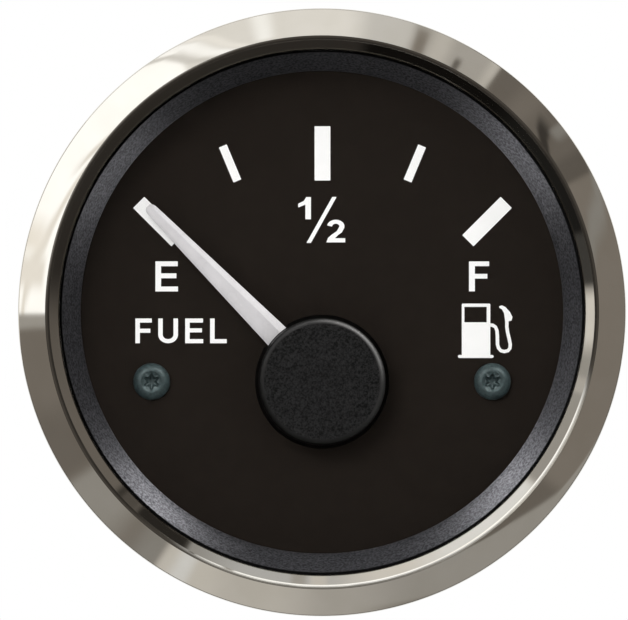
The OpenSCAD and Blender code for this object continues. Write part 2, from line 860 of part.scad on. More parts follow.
module lamp_seal() {
    color("#1c1c1c") at_lamp()
        ring(holder_flange_r - loose_gap, holder_r + drop_in_gap, back_z - lamp_seal_t, back_z);
}

module circuit_board() {
    color("#1f5c3a") face_on() difference() {
        bar(board_r, board_z, board_top_z);
        translate([0, lamp_y, 0]) bar(board_notch_r, board_z - past, board_top_z + past);
        translate([0, lamp_y + board_notch_r, 0])
            block(2 * board_notch_r, 2 * board_notch_r, board_z - past, board_top_z + past);
        for (p = board_posts) translate([p[0], p[1], 0]) {
            bar(board_screw_r + drop_in_gap, board_z - past, board_top_z + past);
        }
        for (x = [-post_x, post_x], y = [-post_x, post_x]) translate([x, y - pivot_drop, 0]) {
            bar(pin_r + drop_in_gap, board_z - past, board_top_z + past);
        }
        for (p = terminals) translate([p[0], p[1], 0]) {
            block(tail_w + 2 * drop_in_gap, blade_t + 2 * drop_in_gap, board_z - past, board_top_z + past);
        }
    }
}

module board_screws() {
    color("#c4c6c8") face_on() for (p = board_posts) {
        translate([p[0], p[1], board_top_z])
            pan_screw(board_screw_head_r, board_screw_head_t, board_screw_r,
                board_t + board_screw_bite, board_socket_r);
    }
}

// Axial component lying along x above the board: a body and two bent leads
module axial_part(body_r, body_l, lead_r) {
    lead_x = body_l / 2 + lead_reach;
    lift = body_r + lead_lift;
    translate([-body_l / 2, 0, lift]) rotate([0, 90, 0]) cylinder(r = body_r, h = body_l, $fn = 48);
    for (side = [-1, 1]) {
        translate([side > 0 ? body_l / 2 : -lead_x - lead_r, 0, lift]) rotate([0, 90, 0])
            cylinder(r = lead_r, h = lead_x + lead_r - body_l / 2, $fn = 24);
        translate([side * lead_x, 0, 0]) cylinder(r = lead_r, h = lift, $fn = 24);
    }
}

module resistors() {
    color("#c8b58a") face_on() for (row = [-1:1]) {
        translate([-parts_x, resistor_y + row * resistor_row, board_top_z])
            axial_part(resistor_r, resistor_l, resistor_lead_r);
    }
}

module protection_diode() {
    color("#17181a") face_on() translate([parts_x, diode_y, board_top_z])
        axial_part(diode_r, diode_l, diode_lead_r);
}

module capacitor() {
    color("#23324f") face_on() translate([board_r - capacitor_in, capacitor_y, board_top_z])
        rounded_bar(capacitor_r, capacitor_h, capacitor_edge_r);
}

// One blade terminal: a spade behind the case and a narrow tail through the board
module blade_terminal(x, y) {
    tip = 0.8;
    face_on() translate([x, y + blade_t / 2, 0]) rotate([90, 0, 0]) linear_extrude(blade_t) difference() {
        polygon([
            [-blade_w / 2 + tip, back_z - blade_l],
            [blade_w / 2 - tip, back_z - blade_l],
            [blade_w / 2, back_z - blade_l + tip],
            [blade_w / 2, board_z],
            [tail_w / 2, board_z],
            [tail_w / 2, board_top_z + pin_out],
            [-tail_w / 2, board_top_z + pin_out],
            [-tail_w / 2, board_z],
            [-blade_w / 2, board_z],
            [-blade_w / 2, back_z - blade_l + tip]
        ]);
        translate([0, back_z - blade_l / 2]) circle(r = blade_hole_r, $fn = 32);
    }
}

module terminal_supply() {
    color("#d8d4c8") blade_terminal(terminals[0][0], terminals[0][1]);
}

module terminal_sender() {
    color("#d8d4c8") blade_terminal(terminals[1][0], terminals[1][1]);
}

module terminal_ground() {
    color("#d8d4c8") blade_terminal(terminals[2][0], terminals[2][1]);
}

module clamp_studs() {
    color("#c4c6c8") face_on() for (side = [-1, 1]) translate([side * stud_x, 0, 0]) {
        bar(stud_r, back_z - stud_l, back_in_z);
        translate([0, 0, back_in_z]) cylinder(d = stud_head_w, h = stud_head_t, $fn = 6);
    }
}

// Points of a quarter bend from angle a0 to a1, about (x, z)
function bend(x, z, r, a0, a1) = [for (i = [0:6])
    let (a = a0 + (a1 - a0) * i / 6) [x + r * cos(a), z + r * sin(a)]
];

// Right end of the clamp's strip, seen from its edge, from outside the crossbar's bend
// up the leg, round the foot and back to the inside of the same bend
strip_out_r = bend_r + strip_t;
strip_end = concat(
    bend(leg_x - bend_r, bar_z + bend_r, strip_out_r, -90, 0),
    bend(leg_x + strip_out_r, -panel_t - strip_out_r, bend_r, 180, 90),
    [[leg_x + foot_l, -panel_t - strip_t], [leg_x + foot_l, -panel_t]],
    bend(leg_x + strip_out_r, -panel_t - strip_out_r, strip_out_r, 90, 180),
    bend(leg_x - bend_r, bar_z + bend_r, bend_r, 0, -90)
);

module clamp_bracket() {
    color("#b9bcbe") face_on() difference() {
        intersection() {
            translate([0, strip_w / 2, 0]) rotate([90, 0, 0]) linear_extrude(strip_w) polygon(concat(
                strip_end,
                [for (i = [len(strip_end) - 1:-1:0]) [-strip_end[i][0], strip_end[i][1]]]
            ));
            bar(bezel_r - foot_set_in, bar_z - strip_t - past, past);
        }
        for (side = [-1, 1]) translate([side * stud_x, 0, 0]) {
            bar(stud_r + stud_gap, bar_z - strip_t - past, bar_z + past);
        }
    }
}

module clamp_washers() {
    color("#b9bcbe") face_on() for (side = [-1, 1]) translate([side * stud_x, 0, 0]) {
        ring(washer_d / 2, stud_r + stud_gap, washer_z, bar_z - strip_t);
    }
}

// Knurled nut on the stud at x
module thumb_nut(x) {
    knurl = [for (i = [0:2 * nut_grooves - 1])
        let (a = 180 * i / nut_grooves, r = nut_d / 2 - (i % 2) * groove_depth) [r * cos(a), r * sin(a)]];
    face_on() translate([x, 0, nut_z]) difference() {
        union() {
            linear_extrude(nut_h * 0.7) polygon(knurl);
            bar(nut_d / 3, 0, nut_h);
        }
        bar(stud_r + running_gap, -past, nut_h + past);
    }
}

module thumb_nut_left() {
    color("#c8a24a") thumb_nut(-stud_x);
}

module thumb_nut_right() {
    color("#c8a24a") thumb_nut(stud_x);
}

bezel();
lens();
lens_seal();
reveal_ring();
dial();
scale_print();
dial_screws();
panel_gasket();
case();
pointer();
pointer_cap();
pointer_bush();
counterweight();
spindle();
stop_arm();
stop_posts();
rotor_magnet();
bobbin_front();
bobbin_rear();
inner_coil();
outer_coil();
coil_pins();
front_bearing();
rear_bearing();
shield_can();
zero_magnet();
movement_screws();
light_guide();
dial_carrier();
lamp_holder();
lamp_bulb();
lamp_contacts();
lamp_seal();
circuit_board();
board_screws();
resistors();
capacitor();
protection_diode();
terminal_supply();
terminal_sender();
terminal_ground();
clamp_studs();
clamp_bracket();
clamp_washers();
thumb_nut_left();
thumb_nut_right();
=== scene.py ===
"""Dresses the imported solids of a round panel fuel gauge, and lights it as a studio would."""

import logging
import math
from collections.abc import Callable, Iterable, Sequence
from dataclasses import dataclass, field
from enum import Enum

import bmesh
import bpy
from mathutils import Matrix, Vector
from mathutils.geometry import tessellate_polygon


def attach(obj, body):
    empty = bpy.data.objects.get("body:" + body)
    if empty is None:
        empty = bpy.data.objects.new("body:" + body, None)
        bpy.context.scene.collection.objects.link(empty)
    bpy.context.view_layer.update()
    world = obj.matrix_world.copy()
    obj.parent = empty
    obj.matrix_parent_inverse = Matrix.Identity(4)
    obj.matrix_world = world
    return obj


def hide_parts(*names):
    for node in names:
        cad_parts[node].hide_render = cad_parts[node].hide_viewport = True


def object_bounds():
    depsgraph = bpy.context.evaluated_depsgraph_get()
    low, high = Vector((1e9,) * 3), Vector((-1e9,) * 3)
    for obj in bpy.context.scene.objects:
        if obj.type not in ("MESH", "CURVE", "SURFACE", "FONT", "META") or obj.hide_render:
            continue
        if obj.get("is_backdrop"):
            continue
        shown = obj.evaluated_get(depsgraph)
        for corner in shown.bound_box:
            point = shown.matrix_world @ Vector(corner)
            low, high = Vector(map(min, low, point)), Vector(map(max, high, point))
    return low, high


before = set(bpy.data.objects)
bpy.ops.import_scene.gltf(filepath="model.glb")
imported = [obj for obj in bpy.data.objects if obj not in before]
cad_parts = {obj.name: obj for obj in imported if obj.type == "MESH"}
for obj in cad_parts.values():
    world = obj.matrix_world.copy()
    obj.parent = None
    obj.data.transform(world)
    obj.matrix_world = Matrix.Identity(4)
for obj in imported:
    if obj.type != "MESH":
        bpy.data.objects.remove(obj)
CAD_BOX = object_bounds()

log = logging.getLogger("fuel_gauge")

MM = 0.001
Point = tuple[float, float]
Triple = tuple[float, float, float]
Along = float | Callable[[float], float]
Piece = bpy.types.Object
Tree = bpy.types.NodeTree
Socket = bpy.types.NodeSocket


def place(x: float, y: float, z: float) -> Vector:
    """Turns millimetres to the right, up and towards the reader into the frame's metres."""
    return Vector((x, -z, y)) * MM


def value_at(size: Along, angle: float) -> float:
    """Reads a size that may change with the clock angle, in radians."""
    return size(angle) if callable(size) else size


def clock(degrees: float, radius: float) -> Point:
    """Gives the point at a clock angle, with 0 straight up and 90 to the right."""
    a = math.radians(degrees)
    return radius * math.sin(a), radius * math.cos(a)


def arc(cx: float, cy: float, rx: float, ry: float, start: float, end: float, steps: int) -> list[Point]:
    """Draws part of an ellipse in even chords, its degrees counted from the right and upwards."""
    turn = [math.radians(start + (end - start) * i / steps) for i in range(steps + 1)]
    return [(cx + rx * math.cos(a), cy + ry * math.sin(a)) for a in turn]


def rectangle(x0: float, y0: float, x1: float, y1: float, *r: float) -> list[tuple[float, ...]]:
    """Gives the corners of a rectangle, each with the radius of its rounding if there is one."""
    return [(x, y, *r) for x, y in ((x0, y0), (x1, y0), (x1, y1), (x0, y1))]


def rounded(corners: Sequence[tuple[float, ...]], steps: int = 6) -> list[Point]:
    """Rounds the corners of a closed outline.

    Args:
        corners: Points, each with the radius of its rounding if it has one.
        steps: Chords in each rounding.

    Returns:
        The outline with its arcs.
    """
    made: list[Point] = []
    for i, (x, y, *r) in enumerate(corners):
        if not r:
            made.append((x, y))
            continue
        here = Vector((x, y))
        before = Vector(corners[i - 1][:2]) - here
        after = Vector(corners[(i + 1) % len(corners)][:2]) - here
        half = before.angle(after) / 2
        reach = r[0] / math.tan(half)
        a, b = before.normalized(), after.normalized()
        centre = here + (a + b).normalized() * (r[0] / math.sin(half))
        start, end = here + a * reach - centre, here + b * reach - centre
        turn = start.angle_signed(end)
        for k in range(steps + 1):
            c, s = math.cos(-turn * k / steps), math.sin(-turn * k / steps)
            made.append((centre.x + start.x * c - start.y * s, centre.y + start.x * s + start.y * c))
    return made


def stroke(width: float, path: Sequence[Point]) -> list[Point]:
    """Draws the edge of a line of even width.

    Args:
        width: Width of the line.
        path: Its middle.

    Returns:
        The closed outline.
    """
    left, right = [], []
    for i, (x, y) in enumerate(path):
        along = Vector(path[min(i + 1, len(path) - 1)]) - Vector(path[max(i - 1, 0)])
        along = along.normalized() * width / 2
        left.append((x - along.y, y + along.x))
        right.append((x + along.y, y - along.x))
    return left + right[::-1]


@dataclass
class MeshPlan:
    """Points and faces that are collected before they become one piece."""

    verts: list[Vector] = field(default_factory=list)
    faces: list[list[int]] = field(default_factory=list)

    def row(self, points: Iterable[Vector]) -> list[int]:
        """Adds points.

        Args:
            points: The points, in metres.

        Returns:
            Their numbers.
        """
        first = len(self.verts)
        self.verts.extend(points)
        return list(range(first, len(self.verts)))

    def bridge(self, rows: Sequence[Sequence[int]]) -> None:
        """Joins each closed row of points to the next one.

        Args:
            rows: The numbers of the points. A row may hold one point many times.
        """
        for low, high in zip(rows, rows[1:]):
            for i in range(len(low)):
                j = (i + 1) % len(low)
                face = list(dict.fromkeys((low[i], low[j], high[j], high[i])))
                if len(face) > 2:
                    self.faces.append(face)

    def loft(self, rings: Sequence[tuple[Along, Along]], centre: Point = (0, 0), segments: int = 96,
             closed: bool = False) -> None:
        """Joins rings about an axis that faces the reader.

        Args:
            rings: Radius and height of each ring. Radius 0 is a single point on the axis.
            centre: The axis.
            segments: Points in each ring.
            closed: True if the last ring joins the first, as round a bore.
        """
        angles = [2 * math.pi * i / segments for i in range(segments)]
        rows = []
        for radius, height in rings:
            if radius == 0:
                rows.append(self.row([place(*centre, height)]) * segments)
            else:
                rows.append(self.row(place(centre[0] + value_at(radius, a) * math.sin(a),
                                           centre[1] + value_at(radius, a) * math.cos(a),
                                           value_at(height, a)) for a in angles))
        self.bridge(rows + rows[:1] if closed else rows)

    def prism(self, loops: Sequence[Sequence[Point]], z0: float, z1: float) -> None:
        """Adds an upright plate.

        Args:
            loops: Its edge, then the edges of the openings through it.
            z0: Its back.
            z1: Its front.
        """
        back, front = (self.row(place(*p, z) for loop in loops for p in loop) for z in (z0, z1))
        for tri in tessellate_polygon([[Vector((*p, 0)) for p in loop] for loop in loops]):
            self.faces += [[back[i] for i in tri], [front[i] for i in reversed(tri)]]
        start = 0
        for loop in loops:
            part = slice(start, start + len(loop))
            self.bridge((back[part], front[part]))
            start += len(loop)

    def piece(self, name: str, crease: float = 32, outwards: bool = True) -> Piece:
        """Turns what was collected into one smooth piece.

        Args:
            name: Name of the piece.
            crease: Edges bent by more than this many degrees stay sharp.
            outwards: True if the faces are turned to look outwards.

        Returns:
            The linked object.
        """
        mesh = bpy.data.meshes.new(name)
        mesh.from_pydata(self.verts, [], self.faces)
        mesh.validate()
        mesh.shade_smooth()
        mesh.set_sharp_from_angle(angle=math.radians(crease))
        if outwards:
            work = bmesh.new()
            work.from_mesh(mesh)
            bmesh.ops.recalc_face_normals(work, faces=work.faces)
            work.to_mesh(mesh)
            work.free()
        made = bpy.data.objects.new(name, mesh)
        bpy.context.scene.collection.objects.link(made)
        return made


def turned(name: str, rings: Sequence[tuple[Along, Along]], centre: Point = (0, 0), segments: int = 96,
           closed: bool = False, crease: float = 32) -> Piece:
    """Makes a piece of one loft.

    Args:
        name: Name of the piece.
        rings: Radius and height of each ring.
        centre: The axis.
        segments: Points in each ring.
        closed: True if the last ring joins the first.
        crease: Edges bent by more than this many degrees stay sharp.

    Returns:
        The piece.
    """
    plan = MeshPlan()
    plan.loft(rings, centre, segments, closed)
    return plan.piece(name, crease)


class Texture(Enum):
    """Small relief that a finish may have."""

    SATIN = "fine satin"
    MOULDED = "moulded grain"
    BRUSHED = "drawn streaks"
    WOUND = "wound wire"
    ROLLED = "rolled sheet"


SATIN, MOULDED, BRUSHED, WOUND, ROLLED = Texture


def add(tree: Tree, kind: str, inputs: dict[str | int, object] | None = None,
        **settings: object) -> bpy.types.Node:
    """Adds a shader node.

    Args:
        tree: The tree that it goes in.
        kind: Its type, without the words that all types start with.
        inputs: Its inputs, each with a value or with the socket that feeds it.
        **settings: Its other properties.

    Returns:
        The node.
    """
    node = tree.nodes.new(f"ShaderNode{kind}")
    for key, value in settings.items():
        setattr(node, key, value)
    for key, value in (inputs or {}).items():
        if isinstance(value, Socket):
            tree.links.new(value, node.inputs[key])
        else:
            node.inputs[key].default_value = value
    return node


def maths(tree: Tree, operation: str, *values: object) -> Socket:
    """Adds a Math node, fed by numbers and sockets, and gives its output."""
    return add(tree, "Math", dict(enumerate(values)), operation=operation).outputs[0]


def noise(tree: Tree, where: Socket, scale: object, detail: float, rough: float = 0.5) -> Socket:
    """Adds a Noise Texture, its scale a number or a socket, and gives its value."""
    inputs = {"Vector": where, "Scale": scale, "Detail": detail, "Roughness": rough}
    return add(tree, "TexNoise", inputs).outputs["Fac"]


def ramp(tree: Tree, value: Socket, low: float, high: float) -> Socket:
    """Spreads low..high over 0..1 with soft ends."""
    inputs = {"Value": value, "From Min": low, "From Max": high}
    return add(tree, "MapRange", inputs, interpolation_type="SMOOTHSTEP").outputs["Result"]


def mixed(tree: Tree, mask: Socket, first: Socket | Triple, second: Triple) -> Socket:
    """Mixes a colour, or the socket of one, towards a second colour where the mask is."""
    inputs = {"Factor": mask, "A": first if isinstance(first, Socket) else (*first, 1), "B": (*second, 1)}
    return add(tree, "Mix", inputs, data_type="RGBA").outputs["Result"]


def effect(tree: Tree, group: Tree, where: Socket, amount: float) -> Socket:
    """Places a shared mask, read at some coordinates, and gives its output."""
    return add(tree, "Group", {"Vector": where, "Amount": amount}, node_tree=group).outputs["Mask"]


def new_group(name: str, number: str, first: float,
              outputs: Sequence[str]) -> tuple[Tree, Sequence[Socket], Sequence[Socket]]:
    """Starts a shader node group with a vector and a number for inputs.

    Args:
        name: Name of the group.
        number: Name of its number.
        first: The number's first value.
        outputs: Names of the numbers that it puts out.

    Returns:
        The tree, the sockets that its inputs give, and the sockets that take its outputs.
    """
    tree = bpy.data.node_groups.new(name, "ShaderNodeTree")
    tree.interface.new_socket(name="Vector", in_out="INPUT", socket_type="NodeSocketVector")
    amount = tree.interface.new_socket(name=number, in_out="INPUT", socket_type="NodeSocketFloat")
    amount.default_value = first
    for key in outputs:
        tree.interface.new_socket(name=key, in_out="OUTPUT", socket_type="NodeSocketFloat")
    return tree, tree.nodes.new("NodeGroupInput").outputs, tree.nodes.new("NodeGroupOutput").inputs


class EffectGroups:
    """The shader node groups that the finishes share, each built once."""

    def __init__(self) -> None:
        """Builds the groups."""
        self.relief = {texture: self.relief_group(texture) for texture in Texture}
        self.wear_and_highlight = self.edge_wear_and_highlight()
        self.dust = self.dust_film()

    def relief_group(self, texture: Texture) -> Tree:
        """Builds a relief.

        Args:
            texture: The relief.

        Returns:
            A group that puts out its height, and the patches that a finish varies by.
        """
        tree, given, out = new_group(f"{texture.name.lower()}_relief", "Scale", 1000.0, ("Height", "Patch"))
        where, scale = given["Vector"], given["Scale"]

        def grain(share: float, detail: float, rough: float = 0.5, at: Socket = where) -> Socket:
            """Reads noise at a share of the scale."""
            return noise(tree, at, maths(tree, "MULTIPLY", scale, share), detail, rough)

        if texture is SATIN:
            height, patch = grain(1, 3, 0.6), grain(0.12, 2)
        elif texture is MOULDED:
            cells = add(tree, "TexVoronoi", {"Vector": where, "Scale": scale}, feature="SMOOTH_F1")
            pebbles = maths(tree, "MULTIPLY", cells.outputs["Distance"], 0.6)
            height = maths(tree, "ADD", pebbles, maths(tree, "MULTIPLY", grain(1.7, 3, 0.65), 0.7))
            patch = grain(0.8, 3)
        elif texture is BRUSHED:
            drawn = add(tree, "VectorMath", {0: where, 1: (0.05, 1, 1)}, operation="MULTIPLY").outputs[0]
            height, patch = grain(1, 4, 0.7, drawn), grain(0.2, 2, at=drawn)
        elif texture is WOUND:
            turns = {"Vector": where, "Scale": scale, "Distortion": 0.4}
            height = add(tree, "TexWave", turns, bands_direction="DIAGONAL").outputs["Fac"]
            patch = grain(0.1, 2)
        else:
            patch = grain(1, 2)
            height = maths(tree, "ADD", grain(0.15, 2), maths(tree, "MULTIPLY", patch, 0.15))
        tree.links.new(height, out["Height"])
        tree.links.new(patch, out["Patch"])
        return tree

    def edge_wear_and_highlight(self) -> Tree:
        """Builds a mask of the rubbed edges, which on the pointer paints a highlight along the ridge.

        Returns:
            The group.
        """
        tree, given, out = new_group("edge_wear_and_highlight", "Amount", 0.3, ("Mask",))
        edge = ramp(tree, add(tree, "NewGeometry").outputs["Pointiness"], 0.51, 0.58)
        broken = ramp(tree, noise(tree, given["Vector"], 900, 4, 0.7), 0.35, 0.6)
        mask = maths(tree, "MULTIPLY", maths(tree, "MULTIPLY", edge, broken), given["Amount"])
        tree.links.new(mask, out["Mask"])
        return tree

    def dust_film(self) -> Tree:
        """Builds a mask of the thin dust that settles on what looks up.

        Returns:
            The group.
        """
        tree, given, out = new_group("dust_film", "Amount", 0.1, ("Mask",))
        split = add(tree, "SeparateXYZ", {0: add(tree, "NewGeometry").outputs["Normal"]})
        upward = ramp(tree, split.outputs["Z"], 0.1, 1)
        specks = ramp(tree, noise(tree, given["Vector"], 1400, 5, 0.7), 0.4, 0.75)
        mask = maths(tree, "MULTIPLY", maths(tree, "MULTIPLY", upward, specks), given["Amount"])
        tree.links.new(mask, out["Mask"])
        return tree


def new_material(name: str) -> tuple[bpy.types.Material, Tree]:
    """Starts a material with an empty tree.

    Args:
        name: Its name.

    Returns:
        The material and its tree.
    """
    mat = bpy.data.materials.new(name)
    mat.use_nodes = True
    mat.node_tree.nodes.clear()
    return mat, mat.node_tree


def srgb(screen: Triple) -> Triple:
    """Turns a screen colour of 0 to 255 into a linear one."""
    return tuple((c / 255 / 12.92 if c <= 10 else ((c / 255 + 0.055) / 1.055) ** 2.4) for c in screen)


DUST = (0.42, 0.4, 0.37)
DUST_ROUGHNESS = 0.4
GLASS_DUST = 0.015
PATCHES = (0.3, 0.7)


@dataclass(frozen=True)
class Finish:
    """One surface finish. Colours are screen colours, and lengths are in millimetres."""

    name: str
    colour: Triple
    second: Triple
    roughness: float
    rough_spread: float
    metallic: float = 0.0
    specular: float = 0.5
    texture: Texture = SATIN
    grain: float = 0.3
    depth: float = 0.004
    wear_and_highlight: float = 0.0
    worn_and_highlight: Triple = (188, 188, 188)
    dust: float = 0.0
    anisotropic: float = 0.0
    subsurface: float = 0.0
    coat: float = 0.0

    def build(self, groups: EffectGroups) -> bpy.types.Material:
        """Makes the material.

        Args:
            groups: The shared effects.

        Returns:
            The material, under the finish's name.
        """
        mat, tree = new_material(self.name)
        mat.diffuse_color = (*srgb(self.colour), 1)
        where = add(tree, "TexCoord").outputs["Object"]
        relief = add(tree, "Group", {"Scale": 1000 / self.grain / 2, "Vector": where},
                     node_tree=groups.relief[self.texture]).outputs
        colour = mixed(tree, ramp(tree, relief["Patch"], *PATCHES), srgb(self.colour), srgb(self.second))
        half = self.rough_spread / 2
        roughness = add(tree, "MapRange", {
            "Value": relief["Patch"], "From Min": PATCHES[0], "From Max": PATCHES[1],
            "To Min": self.roughness - half, "To Max": self.roughness + half}).outputs["Result"]
        # Lightens rubbed edges: real wear on most finishes, a painted highlight on the pointer's ridge.
        if self.wear_and_highlight:
            colour = mixed(tree, effect(tree, groups.wear_and_highlight, where, self.wear_and_highlight), colour, srgb(self.worn_and_highlight))
        if self.dust:
            dust = effect(tree, groups.dust, where, self.dust)
            colour = mixed(tree, dust, colour, DUST)
            roughness = maths(tree, "ADD", roughness, maths(tree, "MULTIPLY", dust, DUST_ROUGHNESS))
        bump = add(tree, "Bump", {"Distance": self.depth * MM, "Strength": 1.0, "Height": relief["Height"]})
        surface: dict[str | int, object] = {
            "Base Color": colour, "Roughness": roughness, "Normal": bump.outputs["Normal"],
            "Metallic": self.metallic, "Specular IOR Level": self.specular, "Coat Weight": self.coat}
        if self.subsurface:
            surface |= {"Subsurface Weight": self.subsurface, "Subsurface Scale": 1.0,
                        "Subsurface Radius": (0.6 * MM, 0.5 * MM, 0.45 * MM)}
        if self.anisotropic:
            tangent = add(tree, "Tangent", direction_type="RADIAL", axis="Y").outputs["Tangent"]
            surface |= {"Anisotropic": self.anisotropic, "Anisotropic Rotation": 0.25, "Tangent": tangent}
        bsdf = add(tree, "BsdfPrincipled", surface)
        add(tree, "OutputMaterial", {"Surface": bsdf.outputs["BSDF"]})
        return mat


@dataclass(frozen=True)
class ClearGlass:
    """Clear glass that lets the light behind it through. The tint is a linear colour."""

    name: str
    tint: Triple = (1.0, 1.0, 1.0)
    roughness: float = 0.0
    ior: float = 1.45

    def build(self, groups: EffectGroups) -> bpy.types.Material:
        """Makes the material.

        Args:
            groups: The shared effects.

        Returns:
            The material. Shadow, diffuse and mirrored rays go straight through it.
        """
        mat, tree = new_material(self.name)
        dust = effect(tree, groups.dust, add(tree, "TexCoord").outputs["Object"], GLASS_DUST)
        bsdf = add(tree, "BsdfPrincipled", {
            "Base Color": (*self.tint, 1), "Roughness": maths(tree, "ADD", dust, self.roughness),
            "IOR": self.ior, "Transmission Weight": 1.0})
        path = add(tree, "LightPath").outputs
        mirrored = maths(tree, "MULTIPLY", path["Is Glossy Ray"],
                         maths(tree, "SUBTRACT", 1.0, path["Is Transmission Ray"]))
        soft = maths(tree, "MAXIMUM", path["Is Shadow Ray"], path["Is Diffuse Ray"])
        clear = add(tree, "BsdfTransparent").outputs["BSDF"]
        both = add(tree, "MixShader", {"Fac": maths(tree, "MAXIMUM", soft, mirrored),
                                       1: bsdf.outputs["BSDF"], 2: clear})
        add(tree, "OutputMaterial", {"Surface": both.outputs["Shader"]})
        return mat


FINISHES = {f.name: f for f in (
    Finish("polished_steel", (226, 222, 214), (222, 218, 209), 0.05, 0.02, 1, texture=ROLLED, grain=2,
           depth=0.0012),
    ClearGlass("front_glass"),
    Finish("rubber", (24, 24, 25), (31, 31, 32), 0.62, 0.1, specular=0.3, texture=MOULDED, grain=0.25,
           depth=0.006, dust=0.25),
    Finish("reveal_black", (88, 88, 92), (32, 33, 36), 0.62, 0.04, 0.9, texture=MOULDED, grain=0.1,
           depth=0.002, anisotropic=1),
    Finish("dial_black", (30, 25, 21), (32, 27, 23), 0.75, 0.05, specular=0.05, grain=0.1, depth=0.001),
    Finish("print_white", (252, 252, 251), (248, 248, 247), 0.55, 0.05, specular=0.25, grain=0.12,
           depth=0.002),
    Finish("screw_black", (62, 77, 78), (44, 56, 58), 0.42, 0.1, 0.4, texture=MOULDED, grain=0.12,
           depth=0.003, wear_and_highlight=0.5, worn_and_highlight=(120, 132, 134)),
    # The pointer's edge wear is a painted highlight that whitens its ridge and edges.
    Finish("pointer_white", (208, 206, 208), (200, 198, 200), 0.26, 0.06, grain=0.12, depth=0.002, wear_and_highlight=0.9,
           worn_and_highlight=(252, 252, 254)),
    Finish("cap_black", (2, 2, 2), (37, 37, 37), 0.36, 0.06, specular=0.17, texture=MOULDED, grain=0.066,
           depth=0.015),
    Finish("edge_black", (5, 5, 5), (8, 8, 8), 0.3, 0.05, specular=0.26, grain=0.2, depth=0.001),
    # Painted shade: a near-black, almost unreflecting black that stands in for the shade on the cap's side
    # and in the gap at the reveal ring's lip.
    Finish("painted_shade_black", (3, 3, 3), (6, 6, 6), 0.6, 0.06, specular=0.08, grain=0.12),
    Finish("case_black", (26, 27, 28), (31, 32, 33), 0.5, 0.12, specular=0.4, texture=MOULDED, depth=0.01,
           wear_and_highlight=0.25, worn_and_highlight=(78, 78, 80), dust=0.1),
    Finish("holder_black", (30, 31, 33), (38, 39, 41), 0.42, 0.1, specular=0.45, texture=MOULDED, grain=0.24,
           depth=0.008, wear_and_highlight=0.25, worn_and_highlight=(84, 84, 86), dust=0.25),
    Finish("brass", (200, 164, 92), (182, 146, 78), 0.24, 0.12, 1, grain=0.4, depth=0.003, wear_and_highlight=0.4,
           worn_and_highlight=(232, 206, 140)),
    Finish("bright_steel", (200, 201, 203), (186, 188, 190), 0.22, 0.08, 1, depth=0.002),
    Finish("zinc_steel", (190, 193, 196), (164, 168, 174), 0.34, 0.14, 1, texture=BRUSHED, grain=0.5,
           wear_and_highlight=0.3, worn_and_highlight=(214, 216, 218)),
    Finish("magnet", (104, 108, 112), (88, 92, 96), 0.4, 0.1, 0.8, texture=MOULDED, grain=0.2),
    Finish("former_plastic", (232, 228, 214), (224, 219, 203), 0.45, 0.08, specular=0.4, subsurface=0.2),
    Finish("copper_wire", (176, 96, 48), (146, 72, 34), 0.3, 0.1, 1, texture=WOUND, grain=0.2, depth=0.05,
           coat=0.4),
    Finish("tinned_brass", (206, 203, 192), (190, 184, 166), 0.3, 0.12, 1, texture=BRUSHED, depth=0.003,
           wear_and_highlight=0.6, worn_and_highlight=(206, 176, 104)),
    ClearGlass("guide_clear", (0.9, 0.97, 0.95), 0.08, 1.49),
    Finish("carrier_white", (236, 236, 233), (229, 229, 226), 0.5, 0.08, specular=0.4),
    ClearGlass("bulb_glass", (1.0, 0.98, 0.94), 0.0, 1.5),
    Finish("board_green", (31, 92, 58), (26, 80, 50), 0.35, 0.1, texture=MOULDED, grain=0.5, coat=0.3),
    Finish("resistor_tan", (200, 181, 138), (190, 168, 122), 0.4, 0.1, grain=0.2),
    Finish("capacitor_blue", (35, 50, 79), (30, 43, 70), 0.32, 0.08, depth=0.003),
    Finish("diode_black", (24, 24, 26), (30, 30, 32), 0.34, 0.08, grain=0.2, depth=0.003),
)}


@dataclass
class Workshop:
    """Hands out the materials and mounts the pieces."""

    groups: EffectGroups = field(default_factory=EffectGroups)
    materials: dict[str, bpy.types.Material] = field(default_factory=dict)

    def material(self, finish: str) -> bpy.types.Material:
        """Gives the material of a finish, made at its first use.

        Args:
            finish: Name of the finish.

        Returns:
            The material.
        """
        if finish not in self.materials:
            self.materials[finish] = FINISHES[finish].build(self.groups)
        return self.materials[finish]

    def dress(self, piece: Piece, finish: str, body: str, *stands_for: str, slot: str = "") -> None:
        """Finishes a piece and mounts it on its body.

        Args:
            piece: The piece.
            finish: Its finish.
            body: The body that it rides on.
            *stands_for: CAD nodes that it replaces.
            slot: Its material slot, if that isn't named as the finish is. Not used.
        """
        piece.data.materials.clear()
        piece.data.materials.append(self.material(finish))
        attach(piece, body)
        if stands_for:
            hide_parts(*stands_for)
        log.info("%s: %s, %d faces, on %s", piece.name, finish, len(piece.data.polygons), body)

    def keep(self, finish: str, *nodes: str, bevel: float = 0.0) -> None:
        """Gives CAD nodes their finish.

        Args:
            finish: The finish.
            *nodes: The nodes.
            bevel: Width of their rounded edges in millimetres, or 0.
        """
        for node in nodes:
            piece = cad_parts[node]
            for slot in piece.material_slots:
                slot.material = self.material(finish)
            if bevel:
                edges = piece.modifiers.new("edges", "BEVEL")
                edges.width, edges.segments = bevel * MM, 2
                edges.limit_method, edges.angle_limit = "ANGLE", math.radians(30)
                edges.harden_normals = True
            log.info("%s: CAD solid in %s", node, finish)


